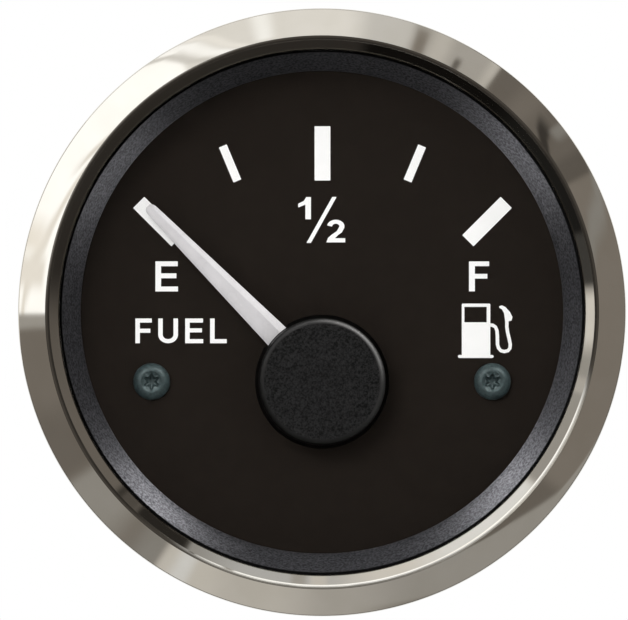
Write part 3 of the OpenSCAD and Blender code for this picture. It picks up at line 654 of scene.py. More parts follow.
@dataclass
class Bezel:
    """The polished ring that is rolled over the case, with the glass that it holds."""

    opening_r: float = 26.74
    ridge_r: float = 28.1
    rim_r: float = 31.0
    curl_r: float = 28.9
    glass_front: float = 8.55
    glass_back: float = 7.0
    glass_r: float = 28.2
    glass_edge: float = 0.15
    ridge_z: float = 9.66
    rim_z: float = 8.06
    back_z: float = 1.0
    flange_z: float = 1.6
    sheet: float = 0.6
    crown: float = 0.03
    land: tuple[Point, ...] = ((27.78, 9.429), (27.90, 9.485), (28.02, 9.536), (28.11, 9.5714))
    top: Point = (28.2, 9.605)

    def outline(self) -> list[Point]:
        """Draws the section through the rolled sheet.

        Returns:
            The closed section, from the opening over the ridge and round the rim.
        """
        run, fall = self.rim_r - self.ridge_r, self.ridge_z - self.rim_z
        slope = math.hypot(run, fall)
        face = [(self.ridge_r + run * t + self.crown * 4 * t * (1 - t) * fall / slope,
                 self.ridge_z - fall * t + self.crown * 4 * t * (1 - t) * run / slope)
                for t in (0.25, 0.4, 0.5, 0.6, 0.75)]
        inner = self.rim_r - self.sheet
        under = self.ridge_z - self.sheet * slope / run
        return rounded([
            (self.opening_r, self.glass_front, 0.01), *((*p, 0.02) for p in self.land), (*self.top, 0.06),
            *face, (self.rim_r, self.rim_z, 0.24), (self.rim_r, self.back_z, 0.5),
            (self.curl_r, self.back_z, 0.2), (self.curl_r, self.flange_z, 0.1), (inner, self.flange_z, 0.15),
            (inner, under - (inner - self.ridge_r) * fall / run, 0.2),
            (self.ridge_r + 0.1, under - 0.05, 0.1), (self.opening_r + 0.9, self.glass_front)])

    def build(self, shop: Workshop) -> None:
        """Makes the ring and the glass.

        Args:
            shop: Where the pieces are finished.
        """
        ring = turned("bezel_ring", self.outline(), segments=288, closed=True)
        shop.dress(ring, "polished_steel", "case", "bezel")
        r, front, back, edge = self.glass_r, self.glass_front, self.glass_back, self.glass_edge
        pane = [(0, front), (r - edge, front), (r, front - edge), (r, back + edge), (r - edge, back),
                (0, back)]
        shop.dress(turned("lens_glass", pane, segments=180), "front_glass", "case", "lens")


@dataclass
class Sign:
    """One printed letter, figure or stroke, in millimetres on the dial."""

    sign: str
    x: float
    y: float
    height: float
    width: float
    stem: float
    bar: float

    def outline(self) -> list[Point]:
        """Draws the sign.

        Returns:
            Its outline.
        """
        w, h, s, b = self.width, self.height, self.stem, self.bar
        e_low, e_high = h * 0.52 - b / 2, h * 0.52 + b / 2
        f_low, f_high = h * 0.505 - b / 2, h * 0.505 + b / 2
        bowl = w / 2 * 0.86
        drawn = {
            "E": [(0, 0), (w, 0), (w, b), (s, b), (s, e_low), (w * 0.93, e_low), (w * 0.93, e_high),
                  (s, e_high), (s, h - b), (w * 0.99, h - b), (w * 0.99, h), (0, h)],
            "F": [(0, 0), (s, 0), (s, f_low), (w * 0.91, f_low), (w * 0.91, f_high), (s, f_high), (s, h - b),
                  (w, h - b), (w, h), (0, h)],
            "L": [(0, 0), (w, 0), (w, b), (s, b), (s, h), (0, h)],
            "U": [(0, h), *arc(w / 2, bowl, w / 2, bowl, 180, 360, 20), (w, h), (w - s, h),
                  *arc(w / 2, bowl, w / 2 - s, bowl - b, 360, 180, 16), (s, h)],
            "1": [(w - s, 0), (w, 0), (w, h), (w - s * 0.85, h), (w - s * 1.25, h * 0.83), (0, h * 0.70),
                  (0, h * 0.53), (w - s, h * 0.66)],
            "2": [(0, 0), (w, 0), (w, b), (w * 0.46, b), (w * 0.64, h * 0.34), (w * 0.82, h * 0.44),
                  *arc(w * 0.50, h * 0.71, w * 0.46, h * 0.29, -28, 172, 18), (w * 0.30, h * 0.71 - 0.03),
                  *arc(w * 0.50, h * 0.71, w * 0.19, h * 0.115, 165, -30, 10), (w * 0.55, h * 0.49),
                  (w * 0.28, h * 0.34), (w * 0.09, h * 0.2)],
            "/": [(0, 0), (s, 0), (w, h), (w - s, h)]}[self.sign]
        return [(self.x + px, self.y + py) for px, py in drawn]


@dataclass
class Face:
    """The reveal ring, the dial, its print and its two screws."""

    dial_z: float = 2.1
    pivot_y: float = -7.1
    ring_foot_r: float = 24.7
    ring_front_r: float = 26.6
    ring_back_r: float = 27.0
    ring_foot_z: float = 2.2
    ring_front_z: float = 7.0
    lip: float = 0.15
    mark_ink: float = 0.08
    sign_ink: float = 0.05
    mark_x: float = 0.05
    marks: tuple[tuple[float, ...], ...] = (
        (-45.8, -45, 23.5, 5.55, 1.62), (-22.95, -22.6, 24.25, 3.88, 0.86), (0, 0, 23.36, 5.55, 1.62),
        (22.95, 22.6, 24.25, 3.88, 0.86), (45.8, 45, 23.5, 5.55, 1.62))
    signs: tuple[Sign, ...] = (
        Sign("E", -17.05, 2.13, 3.08, 2.31, 0.58, 0.50), Sign("F", 15.05, 2.14, 3.06, 2.06, 0.60, 0.48),
        Sign("F", -19.10, -3.17, 2.53, 1.68, 0.46, 0.42), Sign("U", -16.76, -3.17, 2.53, 2.02, 0.46, 0.42),
        Sign("E", -14.00, -3.17, 2.53, 1.84, 0.46, 0.42), Sign("L", -11.45, -3.17, 2.53, 1.70, 0.46, 0.42),
        Sign("1", -2.43, 9.52, 2.27, 1.30, 0.57, 0.42), Sign("/", -1.58, 7.10, 4.70, 3.08, 0.45, 0.46),
        Sign("2", 0.45, 7.15, 2.32, 1.93, 0.44, 0.43))
    hose_w: float = 0.35
    hose: tuple[Point, ...] = (
        (17.2, -1.31), (17.48, -1.33), (17.76, -1.52), (17.91, -1.88), (17.95, -2.4), (17.97, -3.3),
        (18.07, -3.66), (18.32, -3.94), (18.66, -4.03), (19.03, -3.94), (19.24, -3.68), (19.27, -3.3),
        (19.17, -2.75), (19.01, -2.1), (18.92, -1.5), (18.93, -1.0))
    nozzle: tuple[tuple[float, ...], ...] = (
        (18.76, -1.0), (19.1, -1.0), (19.14, -0.9, 0.05), (19.4, -0.86, 0.05), (19.5, -0.5, 0.12),
        (19.24, 0.02, 0.3), (18.78, 0.53, 0.2), (18.42, 0.7, 0.1), (18.12, 0.6, 0.08), (18.16, 0.46, 0.06),
        (18.42, 0.3, 0.1), (18.64, -0.1, 0.2))
    screw_x: float = 17.44
    screw_r: float = 1.89
    screw_h: float = 1.0
    shank_r: float = 0.95
    socket_r: float = 0.82

    def build(self, shop: Workshop) -> None:
        """Makes the face's pieces.

        Args:
            shop: Where the pieces are finished.
        """
        joint_r, joint_z = self.ring_front_r - self.lip * 0.41, self.ring_front_z - self.lip
        cone = [(self.ring_foot_r, self.ring_foot_z), (self.ring_back_r, self.ring_foot_z),
                (self.ring_back_r, joint_z), (joint_r, joint_z),
                (self.ring_foot_r + 0.05, self.ring_foot_z + 0.3, 0.1)]
        lip = [(joint_r, joint_z), (self.ring_front_r, self.ring_front_z, 0.12),
               (self.ring_back_r, self.ring_front_z), (self.ring_back_r, joint_z)]
        shop.dress(turned("reveal_cone", rounded(cone), segments=240, closed=True), "reveal_black", "case",
                   "reveal_ring")
        # The lip is painted near black as the shadow in the gap under the glass's edge.
        shop.dress(turned("reveal_lip", rounded(lip), segments=240, closed=True), "painted_shade_black", "case",
                   slot="reveal_black")
        shop.keep("dial_black", "dial")
        scale = [[self.mark(*row)] for row in self.marks]
        shop.dress(self.printed("dial_scale", scale, self.mark_ink), "print_white", "case", "scale_print")
        legends = [[sign.outline()] for sign in self.signs]
        shop.dress(self.printed("dial_legends", legends, self.sign_ink), "print_white", "case")
        shop.dress(self.printed("dial_pump_sign", self.pump(), self.sign_ink), "print_white", "case")
        for side, name in ((-1, "dial_screw_left"), (1, "dial_screw_right")):
            shop.dress(self.screw(side * self.screw_x, name), "screw_black", "case", "dial_screws")

    def printed(self, name: str, shapes: Sequence[Sequence[Sequence[Point]]], ink: float) -> Piece:
        """Prints shapes on the dial.

        Args:
            name: Name of the piece.
            shapes: The shapes, each with its edge and the edges of its openings.
            ink: How thick the print is.

        Returns:
            The piece.
        """
        plan = MeshPlan()
        for loops in shapes:
            plan.prism(loops, self.dial_z - 0.02, self.dial_z + ink)
        return plan.piece(name)

    def mark(self, where: float, tilt: float, middle: float, length: float, width: float) -> list[Point]:
        """Draws a mark of the scale.

        Args:
            where: Its clock angle about the pivot.
            tilt: The clock angle that it points at.
            middle: Distance of its middle from the pivot.
            length: Its length.
            width: Its width.

        Returns:
            Its outline.
        """
        across, along = Vector(clock(tilt + 90, width / 2)), Vector(clock(tilt, length / 2))
        centre = Vector(clock(where, middle)) + Vector((self.mark_x, self.pivot_y))
        ends = (centre + along - across, centre + along + across,
                centre - along + across, centre - along - across)
        return rounded([(*p, 0.05) for p in ends], 3)

    def pump(self) -> list[list[Sequence[Point]]]:
        """Draws the plain pump sign.

        Returns:
            A cabinet with a window, a base, a hose and its nozzle.
        """
        cabinet = [(14.31, -4.37), (14.31, 0.88, 0.12), (17.23, 0.88, 0.12), (17.23, -4.37)]
        return [[rounded(cabinet), rectangle(14.58, 0.55, 16.86, -1.03)],
                [rounded(rectangle(13.93, -4.68, 17.56, -4.37, 0.14))],
                [stroke(self.hose_w, self.hose)], [rounded(self.nozzle)]]

    def screw(self, x: float, name: str) -> Piece:
        """Makes a dark pan-head screw with a six-lobed socket.

        Args:
            x: Where it stands, across.
            name: Its name.

        Returns:
            The screw.
        """
        def socket(share: float) -> Callable[[float], float]:
            """Gives the socket's radius round the clock, at a share of its size."""
            return lambda a: self.socket_r * (0.86 + 0.14 * math.sin(math.pi / 2 * math.cos(6 * a))) * share

        r, top, foot = self.screw_r, self.dial_z + self.screw_h, self.dial_z
        dome = [(1.06 + 0.79 * t, top - 0.05 - 0.5 * t ** 2.2)
                for t in (0.15, 0.3, 0.45, 0.6, 0.75, 0.88, 1.0)]
        return turned(name, [
            (0, top - 0.8), (socket(0.5), top - 0.76), (socket(0.84), top - 0.56), (socket(0.94), top - 0.28),
            (socket(1.02), top - 0.2), (0.94, top - 0.14), (1.06, top - 0.06), *dome,
            (r - 0.005, top - 0.66), (r, top - 0.75), (r, foot + 0.05), (r - 0.05, foot),
            (self.shank_r, foot), (self.shank_r, foot - 3.4), (self.shank_r - 0.2, foot - 3.6),
            (0, foot - 3.6)], (x, self.pivot_y))


@dataclass
class Hand:
    """The pointer with its cap, which turn on the spindle."""

    pivot_y: float = -7.1
    rest_deg: float = -44.8
    underside: float = 3.0
    hub_r: float = 3.0
    bush_r: float = 1.5
    root_r: float = 2.4
    root_w: float = 2.88
    tip_r: float = 25.3
    tip_w: float = 1.2
    edge_h: float = 0.5
    ridge_h: float = 1.3
    tip_ridge_h: float = 0.78
    ridge_side: float = 0.42
    tail_w: float = 3.0
    tail_l: float = 5.55
    tail_t: float = 0.6
    cap_r: float = 6.85
    cap_foot: float = 2.5
    cap_top: float = 6.2
    cap_wall: float = 0.9
    cap_draft: float = 0.42
    cap_edge: float = 0.52
    slot_top: float = 4.4
    slot_half_w: float = 1.54
    segments: int = 288

    def at(self, across: float, along: float, z: float) -> Vector:
        """Turns a point of the blade, drawn straight up from the pivot, to the resting angle.

        Args:
            across: Distance to the right.
            along: Distance from the pivot.
            z: Height.

        Returns:
            The point in the frame.
        """
        a = math.radians(-self.rest_deg)
        x, y = across * math.cos(a) - along * math.sin(a), across * math.sin(a) + along * math.cos(a)
        return place(x, self.pivot_y + y, z)

    def section(self, along: float, width: float, ridge: float) -> list[Vector]:
        """Draws the blade's section at a distance from the pivot.

        Args:
            along: The distance.
            width: Width of the blade there.
            ridge: Height of its ridge there.

        Returns:
            Points round the section, with the ridge a little right of the middle.
        """
        half, low, top = width / 2, self.underside, self.underside + self.edge_h
        peak, crest = self.ridge_side * half, self.underside + ridge
        rise, soft, hollow = crest - top, 0.035 * width, 0.2 * width
        right = top + rise * 0.55
        middle, crown = (peak - half) / 2, (crest + top) / 2 + 0.03 * width
        return [self.at(x, along, z) for x, z in (
            (-half + 0.05, low), (half - 0.05, low), (half, low + 0.06), (half, right - 0.04),
            (half - 0.04, right), (peak + soft, crest - (crest - right) * 0.10), (peak, crest),
            (peak - soft, crest - rise * 0.03), (middle + hollow, crown + 0.17 * rise), (middle, crown),
            (middle - hollow, crown - 0.27 * rise), (-half + 0.04, top), (-half, top - 0.04),
            (-half, low + 0.06))]

    def blade(self) -> Piece:
        """Makes the two-faceted blade with its hub and tail.

        Returns:
            The pointer.
        """
        plan = MeshPlan()
        end_r = self.tip_r - self.tip_w * 0.55
        sections = [self.section(self.root_r + (end_r - self.root_r) * t,
                                 self.root_w + (self.tip_w - self.root_w) * t,
                                 self.ridge_h + (self.tip_ridge_h - self.ridge_h) * t)
                    for t in (i / 8 for i in range(9))]
        sections += [self.section(end_r + (self.tip_r - end_r) * k, self.tip_w * math.sqrt(1 - k * k * 0.86),
                                  self.tip_ridge_h - (self.tip_ridge_h - self.edge_h) * k * k)
                     for k in (0.35, 0.62, 0.82, 0.95, 1.0)]
        rows = [plan.row(points) for points in sections]
        plan.bridge(rows)
        plan.faces += [rows[0][::-1], rows[-1]]
        low, top, bore, hub = self.underside, self.underside + self.ridge_h, self.bush_r, self.hub_r
        plan.loft([(bore, low), (hub - 0.1, low), (hub, low + 0.1), (hub, top - 0.15), (hub - 0.15, top),
                   (bore, top)], (0, self.pivot_y), 72, closed=True)
        tail = rectangle(-self.tail_w / 2, -bore - 0.6, self.tail_w / 2, -self.tail_l)
        ends = [plan.row(self.at(x, y, z) for x, y in tail) for z in (low, low + self.tail_t)]
        plan.bridge(ends)
        plan.faces += [ends[0], ends[1][::-1]]
        return plan.piece("pointer_blade", 20)

    def side(self, height: float) -> float:
        """Gives the radius of the cap's sloped side at a height."""
        return self.cap_r - self.cap_draft * (height - self.cap_foot) / (self.cap_top - self.cap_foot)

    def cap(self, shop: Workshop) -> None:
        """Makes the cap: its grained top, its smooth rounded edge, and its side with a notch for the blade,
        the side painted near black as its shade.

        Args:
            shop: Where the pieces are finished.
        """
        def foot(angle: float) -> float:
            """Gives the height of the side's lower edge at a clock angle."""
            off = abs((angle - math.radians(self.rest_deg) + math.pi) % (2 * math.pi) - math.pi)
            return self.slot_top if off < math.asin(self.slot_half_w / self.cap_r) else self.cap_foot

        top, low, ceiling = self.cap_top, self.cap_top - self.cap_edge, self.cap_top - self.cap_wall
        inner, reach = self.cap_r - self.cap_wall, self.side(self.cap_top) - self.cap_edge
        span = self.side(low) - reach
        turn = [math.radians(d) for d in range(0, 91, 6)]
        shell = [(0, top), (reach * 0.5, top), (reach, top), (reach, ceiling), (0, ceiling)]
        edge = [*((reach + span * math.sin(t), low + self.cap_edge * math.cos(t)) for t in turn),
                (inner + 0.05, low), (reach, ceiling)]
        skirt = [(self.side(low), low), (lambda a: self.side(foot(a) + 0.08), lambda a: foot(a) + 0.08),
                 (lambda a: self.side(foot(a)) - 0.08, foot), (inner + 0.05, foot),
                 (inner, lambda a: foot(a) + 0.05), (inner, low)]
        centre = (0, self.pivot_y)
        shop.dress(turned("cap_shell", shell, centre, self.segments), "cap_black", "pointer", "pointer_cap")
        # The side takes the near-black finish as painted shade; the edge keeps a smooth gloss black.
        for name, rings, finish in (("cap_edge", edge, "edge_black"), ("cap_skirt", skirt, "painted_shade_black")):
            shop.dress(turned(name, rings, centre, self.segments, True), finish, "pointer", slot="cap_black")

    def build(self, shop: Workshop) -> None:
        """Makes the hand's pieces.

        Args:
            shop: Where the pieces are finished.
        """
        shop.dress(self.blade(), "pointer_white", "pointer", "pointer")
        self.cap(shop)
        shop.keep("brass", "pointer_bush", "counterweight")
        shop.keep("bright_steel", "spindle", "stop_arm")
        shop.keep("magnet", "rotor_magnet")


@dataclass
class Movement:
    """What is closed in behind the dial. Its CAD solids keep their shapes."""

    nodes: dict[str, tuple[str, ...]] = field(default_factory=lambda: {
        "rubber": ("lens_seal",), "bright_steel": ("stop_posts", "movement_screws", "board_screws"),
        "former_plastic": ("bobbin_front", "bobbin_rear"), "copper_wire": ("inner_coil", "outer_coil"),
        "tinned_brass": ("coil_pins",), "brass": ("front_bearing", "rear_bearing"),
        "zinc_steel": ("shield_can",), "magnet": ("zero_magnet",), "guide_clear": ("light_guide",),
        "carrier_white": ("dial_carrier",), "board_green": ("circuit_board",),
        "resistor_tan": ("resistors",), "capacitor_blue": ("capacitor",),
        "diode_black": ("protection_diode",), "bulb_glass": ("lamp_bulb",)})

    def build(self, shop: Workshop) -> None:
        """Finishes the solids."""
        for finish, nodes in self.nodes.items():
            shop.keep(finish, *nodes)


@dataclass
class Housing:
    """The moulded case with its gasket and the details of its back."""

    back_z: float = -38.0
    gasket_r: float = 30.4
    gasket_in_r: float = 26.6
    gasket_t: float = 1.0
    stud_x: float = 18.0
    lamp_y: float = 16.0
    seat_r: float = 6.9
    terminals: tuple[Point, ...] = ((-12, -14), (0, -17.5), (12, -14))
    frame_half: Point = (4.3, 1.5)
    slot_half: Point = (3.4, 0.65)
    pin_marks: tuple[Point, ...] = ((-6.5, -3.4), (-6.5, 3.4), (6.5, -3.4), (6.5, 3.4))

    def details(self) -> Piece:
        """Makes the raised details of the moulded back.

        Returns:
            Collars, frames, ribs and ejector marks in one piece.
        """
        plan = MeshPlan()
        z, seat = self.back_z, self.seat_r
        collar = ((2.15, 0.2), (2.15, -0.34), (2.25, -0.42), (3.4, -0.42), (3.5, -0.34), (3.65, 0.2))
        lamp = ((seat, 0.2), (seat, -0.34), (seat + 0.1, -0.42), (seat + 0.7, -0.42), (seat + 0.82, -0.3),
                (seat + 0.92, 0.2))
        rib = ((23.3, 0.2), (23.35, -0.25), (23.45, -0.35), (24.35, -0.35), (24.5, -0.2), (24.6, 0.2))
        mark = ((0, -0.12), (1.5, -0.12), (1.6, -0.02), (1.6, 0.2), (0, 0.2))
        for section, segments, closed, centres in (
                (collar, 72, True, ((-self.stud_x, 0), (self.stud_x, 0))),
                (lamp, 120, True, ((0, self.lamp_y),)), (rib, 240, True, ((0, 0),)),
                (mark, 48, False, self.pin_marks)):
            for centre in centres:
                plan.loft([(r, z + h) for r, h in section], centre, segments, closed)
        for x, y in self.terminals:
            (fx, fy), (sx, sy) = self.frame_half, self.slot_half
            plan.prism([rounded(rectangle(x - fx, y - fy, x + fx, y + fy, 0.5)),
                        rectangle(x - sx, y - sy, x + sx, y + sy)], z - 0.9, z + 0.2)
        return plan.piece("case_back_details")

    def gasket(self) -> Piece:
        """Makes the rubber ring under the bezel, with two sealing lips on its back.

        Returns:
            The gasket.
        """
        top, out, inn = self.gasket_t, self.gasket_r, self.gasket_in_r
        lips = ((0.3, 0.0), (0.9, 0.0), (1.15, 0.2), (1.6, 0.2), (1.85, 0.0), (2.45, 0.0), (2.7, 0.2))
        section = [(inn, 0.12, 0.05), (inn, top), (out, top), (out, 0.12, 0.1),
                   *((out - inset, z, 0.1) for inset, z in lips), (inn + 0.3, 0.2, 0.1)]
        return turned("gasket_ring", rounded(section, 3), segments=240, closed=True)

    def build(self, shop: Workshop) -> None:
        """Makes the housing's pieces.

        Args:
            shop: Where the pieces are finished.
        """
        shop.keep("case_black", "case")
        shop.dress(self.details(), "case_black", "case")
        shop.dress(self.gasket(), "rubber", "case", "panel_gasket")
        shop.keep("tinned_brass", "terminal_supply", "terminal_sender", "terminal_ground", bevel=0.12)


@dataclass
class Lamp:
    """The push-in lamp holder."""

    y: float = 16.0
    body_r: float = 5.4
    flange_r: float = 6.5
    grip_r: float = 4.8
    top_z: float = -28.0
    seat_z: float = -38.8
    flange_z: float = -41.3
    end_z: float = -47.0
    bulb_r: float = 2.6
    ribs: int = 18
    rib: float = 0.28
    notch: float = 0.55

    def holder(self) -> Piece:
        """Makes the holder: a body, a notched flange and a ribbed grip.

        Returns:
            The holder.
        """
        def grip(angle: float) -> float:
            """Gives the grip's radius at an angle."""
            return self.grip_r - self.rib * (0.5 + 0.5 * math.cos(self.ribs * angle)) ** 2

        def flange(inset: float) -> Callable[[float], float]:
            """Gives the flange's radius round the clock, moved in."""
            return lambda a: self.flange_r - (self.notch if abs(math.cos(a)) < 0.2 else 0.0) - inset

        end, edge, seat, top = self.end_z, self.flange_z, self.seat_z, self.top_z
        return turned("holder_body", [
            (0, end + 0.9), (2.9, end + 0.9), (3.1, end + 0.15), (3.25, end), (4.2, end), (4.4, end + 0.2),
            (grip, end + 0.75), (grip, edge - 0.5), (4.75, edge), (flange(0.25), edge),
            (flange(0), edge + 0.25), (flange(0), seat - 0.15), (flange(0.15), seat), (self.body_r, seat),
            (self.body_r, top - 0.3), (self.body_r - 0.3, top), (self.bulb_r, top), (self.bulb_r, top - 6),
            (0, top - 6)], (0, self.y), 216)

    def build(self, shop: Workshop) -> None:
        """Makes the lamp's pieces.

        Args:
            shop: Where the pieces are finished.
        """
        shop.dress(self.holder(), "holder_black", "lamp", "lamp_holder")
        shop.keep("brass", "lamp_contacts", bevel=0.08)
        shop.keep("rubber", "lamp_seal", bevel=0.1)


@dataclass
class Clamp:
    """The studs, the bracket and the knurled nuts behind the panel."""

    stud_x: float = 18.0
    stud_r: float = 2.0
    pitch: float = 0.7
    thread_depth: float = 0.32
    thread_z: float = -38.6
    stud_end: float = -61.0
    head_z: float = -36.0
    head_r: float = 3.03
    washer_z: float = -43.0
    washer_top: float = -42.2
    washer_r: float = 4.5
    nut_r: float = 6.0
    nut_end: float = -49.0
    grooves: int = 30
    groove: float = 0.4
    collar_r: float = 4.0
    knurl_h: float = 4.2

    def thread(self, z: float) -> Callable[[float], float]:
        """Gives the radius round the thread at a height.

        Args:
            z: The height.

        Returns:
            The radius, as a function of the clock angle.
        """
        fade = max(min(1, (z - self.stud_end) / 0.8, (self.thread_z - z) / 0.8), 0)

        def radius(angle: float) -> float:
            """Gives the thread's radius at an angle."""
            crest = 1 - 2.3 * abs((z / self.pitch - angle / (2 * math.pi)) % 1 - 0.5)
            return self.stud_r - self.thread_depth * (1 - max(crest, 0) * fade)
        return radius if z < self.thread_z else lambda a: self.stud_r

    def stud(self, x: float, name: str) -> Piece:
        """Makes a threaded stud with its hexagon head inside the case.

        Args:
            x: Where it stands, across.
            name: Its name.

        Returns:
            The stud.
        """
        def hexagon(angle: float) -> float:
            """Gives the head's radius at an angle."""
            return self.head_r / math.cos((angle + math.pi / 6) % (math.pi / 3) - math.pi / 6)

        steps, first, head = 5, self.stud_end + 0.35, self.head_z
        heights = [first + self.pitch / steps * i
                   for i in range(int((self.thread_z + 0.3 - first) / self.pitch * steps))]
        return turned(name, [
            (0, self.stud_end), (self.stud_r - 0.6, self.stud_end), *((self.thread(z), z) for z in heights),
            (self.stud_r, self.thread_z + 0.4), (self.stud_r, head), (hexagon, head), (hexagon, head + 1.8),
            (2.7, head + 2), (0, head + 2)], (x, 0), 36, crease=40)

    def nut(self, x: float, name: str) -> Piece:
        """Makes a knurled brass nut.

        Args:
            x: Where it stands, across.
            name: Its name.

        Returns:
            The nut.
        """
        def knurl(inset: float) -> Callable[[float], float]:
            """Gives the knurled edge's radius round the clock, moved in."""
            return lambda a: (self.nut_r - inset
                              - self.groove * (0.5 - 0.5 * math.cos(self.grooves * a)) ** 1.5)

        end, high, top = self.nut_end, self.nut_end + self.knurl_h, self.washer_z
        collar, bore = self.collar_r, self.stud_r + 0.05
        return turned(name, [
            (bore, end + 0.35), (bore + 0.35, end), (4.3, end), (4.5, end + 0.12), (5.05, end + 0.12),
            (knurl(0.35), end + 0.2), (knurl(0), end + 0.5), (knurl(0), high - 0.4),
            (knurl(0.35), high - 0.1), (5.1, high), (collar + 0.15, high), (collar, high + 0.15),
            (collar, top - 0.15), (collar - 0.15, top), (bore + 0.3, top), (bore, top - 0.3)],
            (x, 0), 360, closed=True)

    def washer(self, x: float, name: str) -> Piece:
        """Makes a washer with soft edges.

        Args:
            x: Where it lies, across.
            name: Its name.

        Returns:
            The washer.
        """
        hole, edge, low, top = self.stud_r + 0.3, self.washer_r, self.washer_z, self.washer_top
        section = [(hole, low, 0.08), (edge, low, 0.25), (edge, top, 0.1), (hole, top, 0.08)]
        return turned(name, rounded(section, 3), (x, 0), closed=True)

    def build(self, shop: Workshop) -> None:
        """Makes the clamp's pieces.

        Args:
            shop: Where the pieces are finished.
        """
        shop.keep("zinc_steel", "clamp_bracket", bevel=0.15)
        for side, name in ((-1, "left"), (1, "right")):
            x = side * self.stud_x
            shop.dress(self.stud(x, f"stud_{name}"), "zinc_steel", "case", "clamp_studs")
            shop.dress(self.washer(x, f"washer_{name}"), "zinc_steel", "clamp", "clamp_washers")
            shop.dress(self.nut(x, f"nut_{name}_knurled"), "brass", f"nut_{name}", f"thumb_nut_{name}")


WARM = (1.0, 0.90, 0.80)
SOFT = (1.0, 0.965, 0.91)
SILVER = (1.0, 0.985, 0.96)
CLEAR = (1.0, 1.01, 1.02)
LAND_BAND = (10, 45)
LAND_LOW = (10, 38)
LAND_HIGH = (38, 45)
FACE_BAND = (46, 70)
FACE_MIDDLE = 58.5
WALL_BAND = (73, 90)


@dataclass(frozen=True)
class Card:
    """A soft-edged studio card or flag in the tent. Angles are in degrees."""

    start: float
    end: float
    level: float
    tint: Triple = SOFT
    soft_start: float = 2.0
    soft_end: float = 2.0
    band: Point = FACE_BAND
    band_soft: float = 2.0
    slant: float = 0.0

    def mask(self, where: float, off_axis: float) -> float:
        """Says how much of the card shows in a direction.

        Args:
            where: Direction round the gauge's axis.
            off_axis: Direction away from the gauge's axis.

        Returns:
            From 0, outside it, to 1, inside it.
        """
        middle, half = (self.start + self.end) / 2, (self.end - self.start) / 2
        across = (where - self.slant * (off_axis - FACE_MIDDLE) - middle + 180) % 360 - 180
        low, high = self.band
        shown = 1.0
        for depth, soft in ((across + half, self.soft_start), (half - across, self.soft_end),
                            (off_axis - low, self.band_soft), (high - off_axis, self.band_soft)):
            if depth <= -soft:
                return 0.0
            share = min((depth + soft) / (2 * soft), 1)
            shown *= share * share * (3 - 2 * share)
        return shown


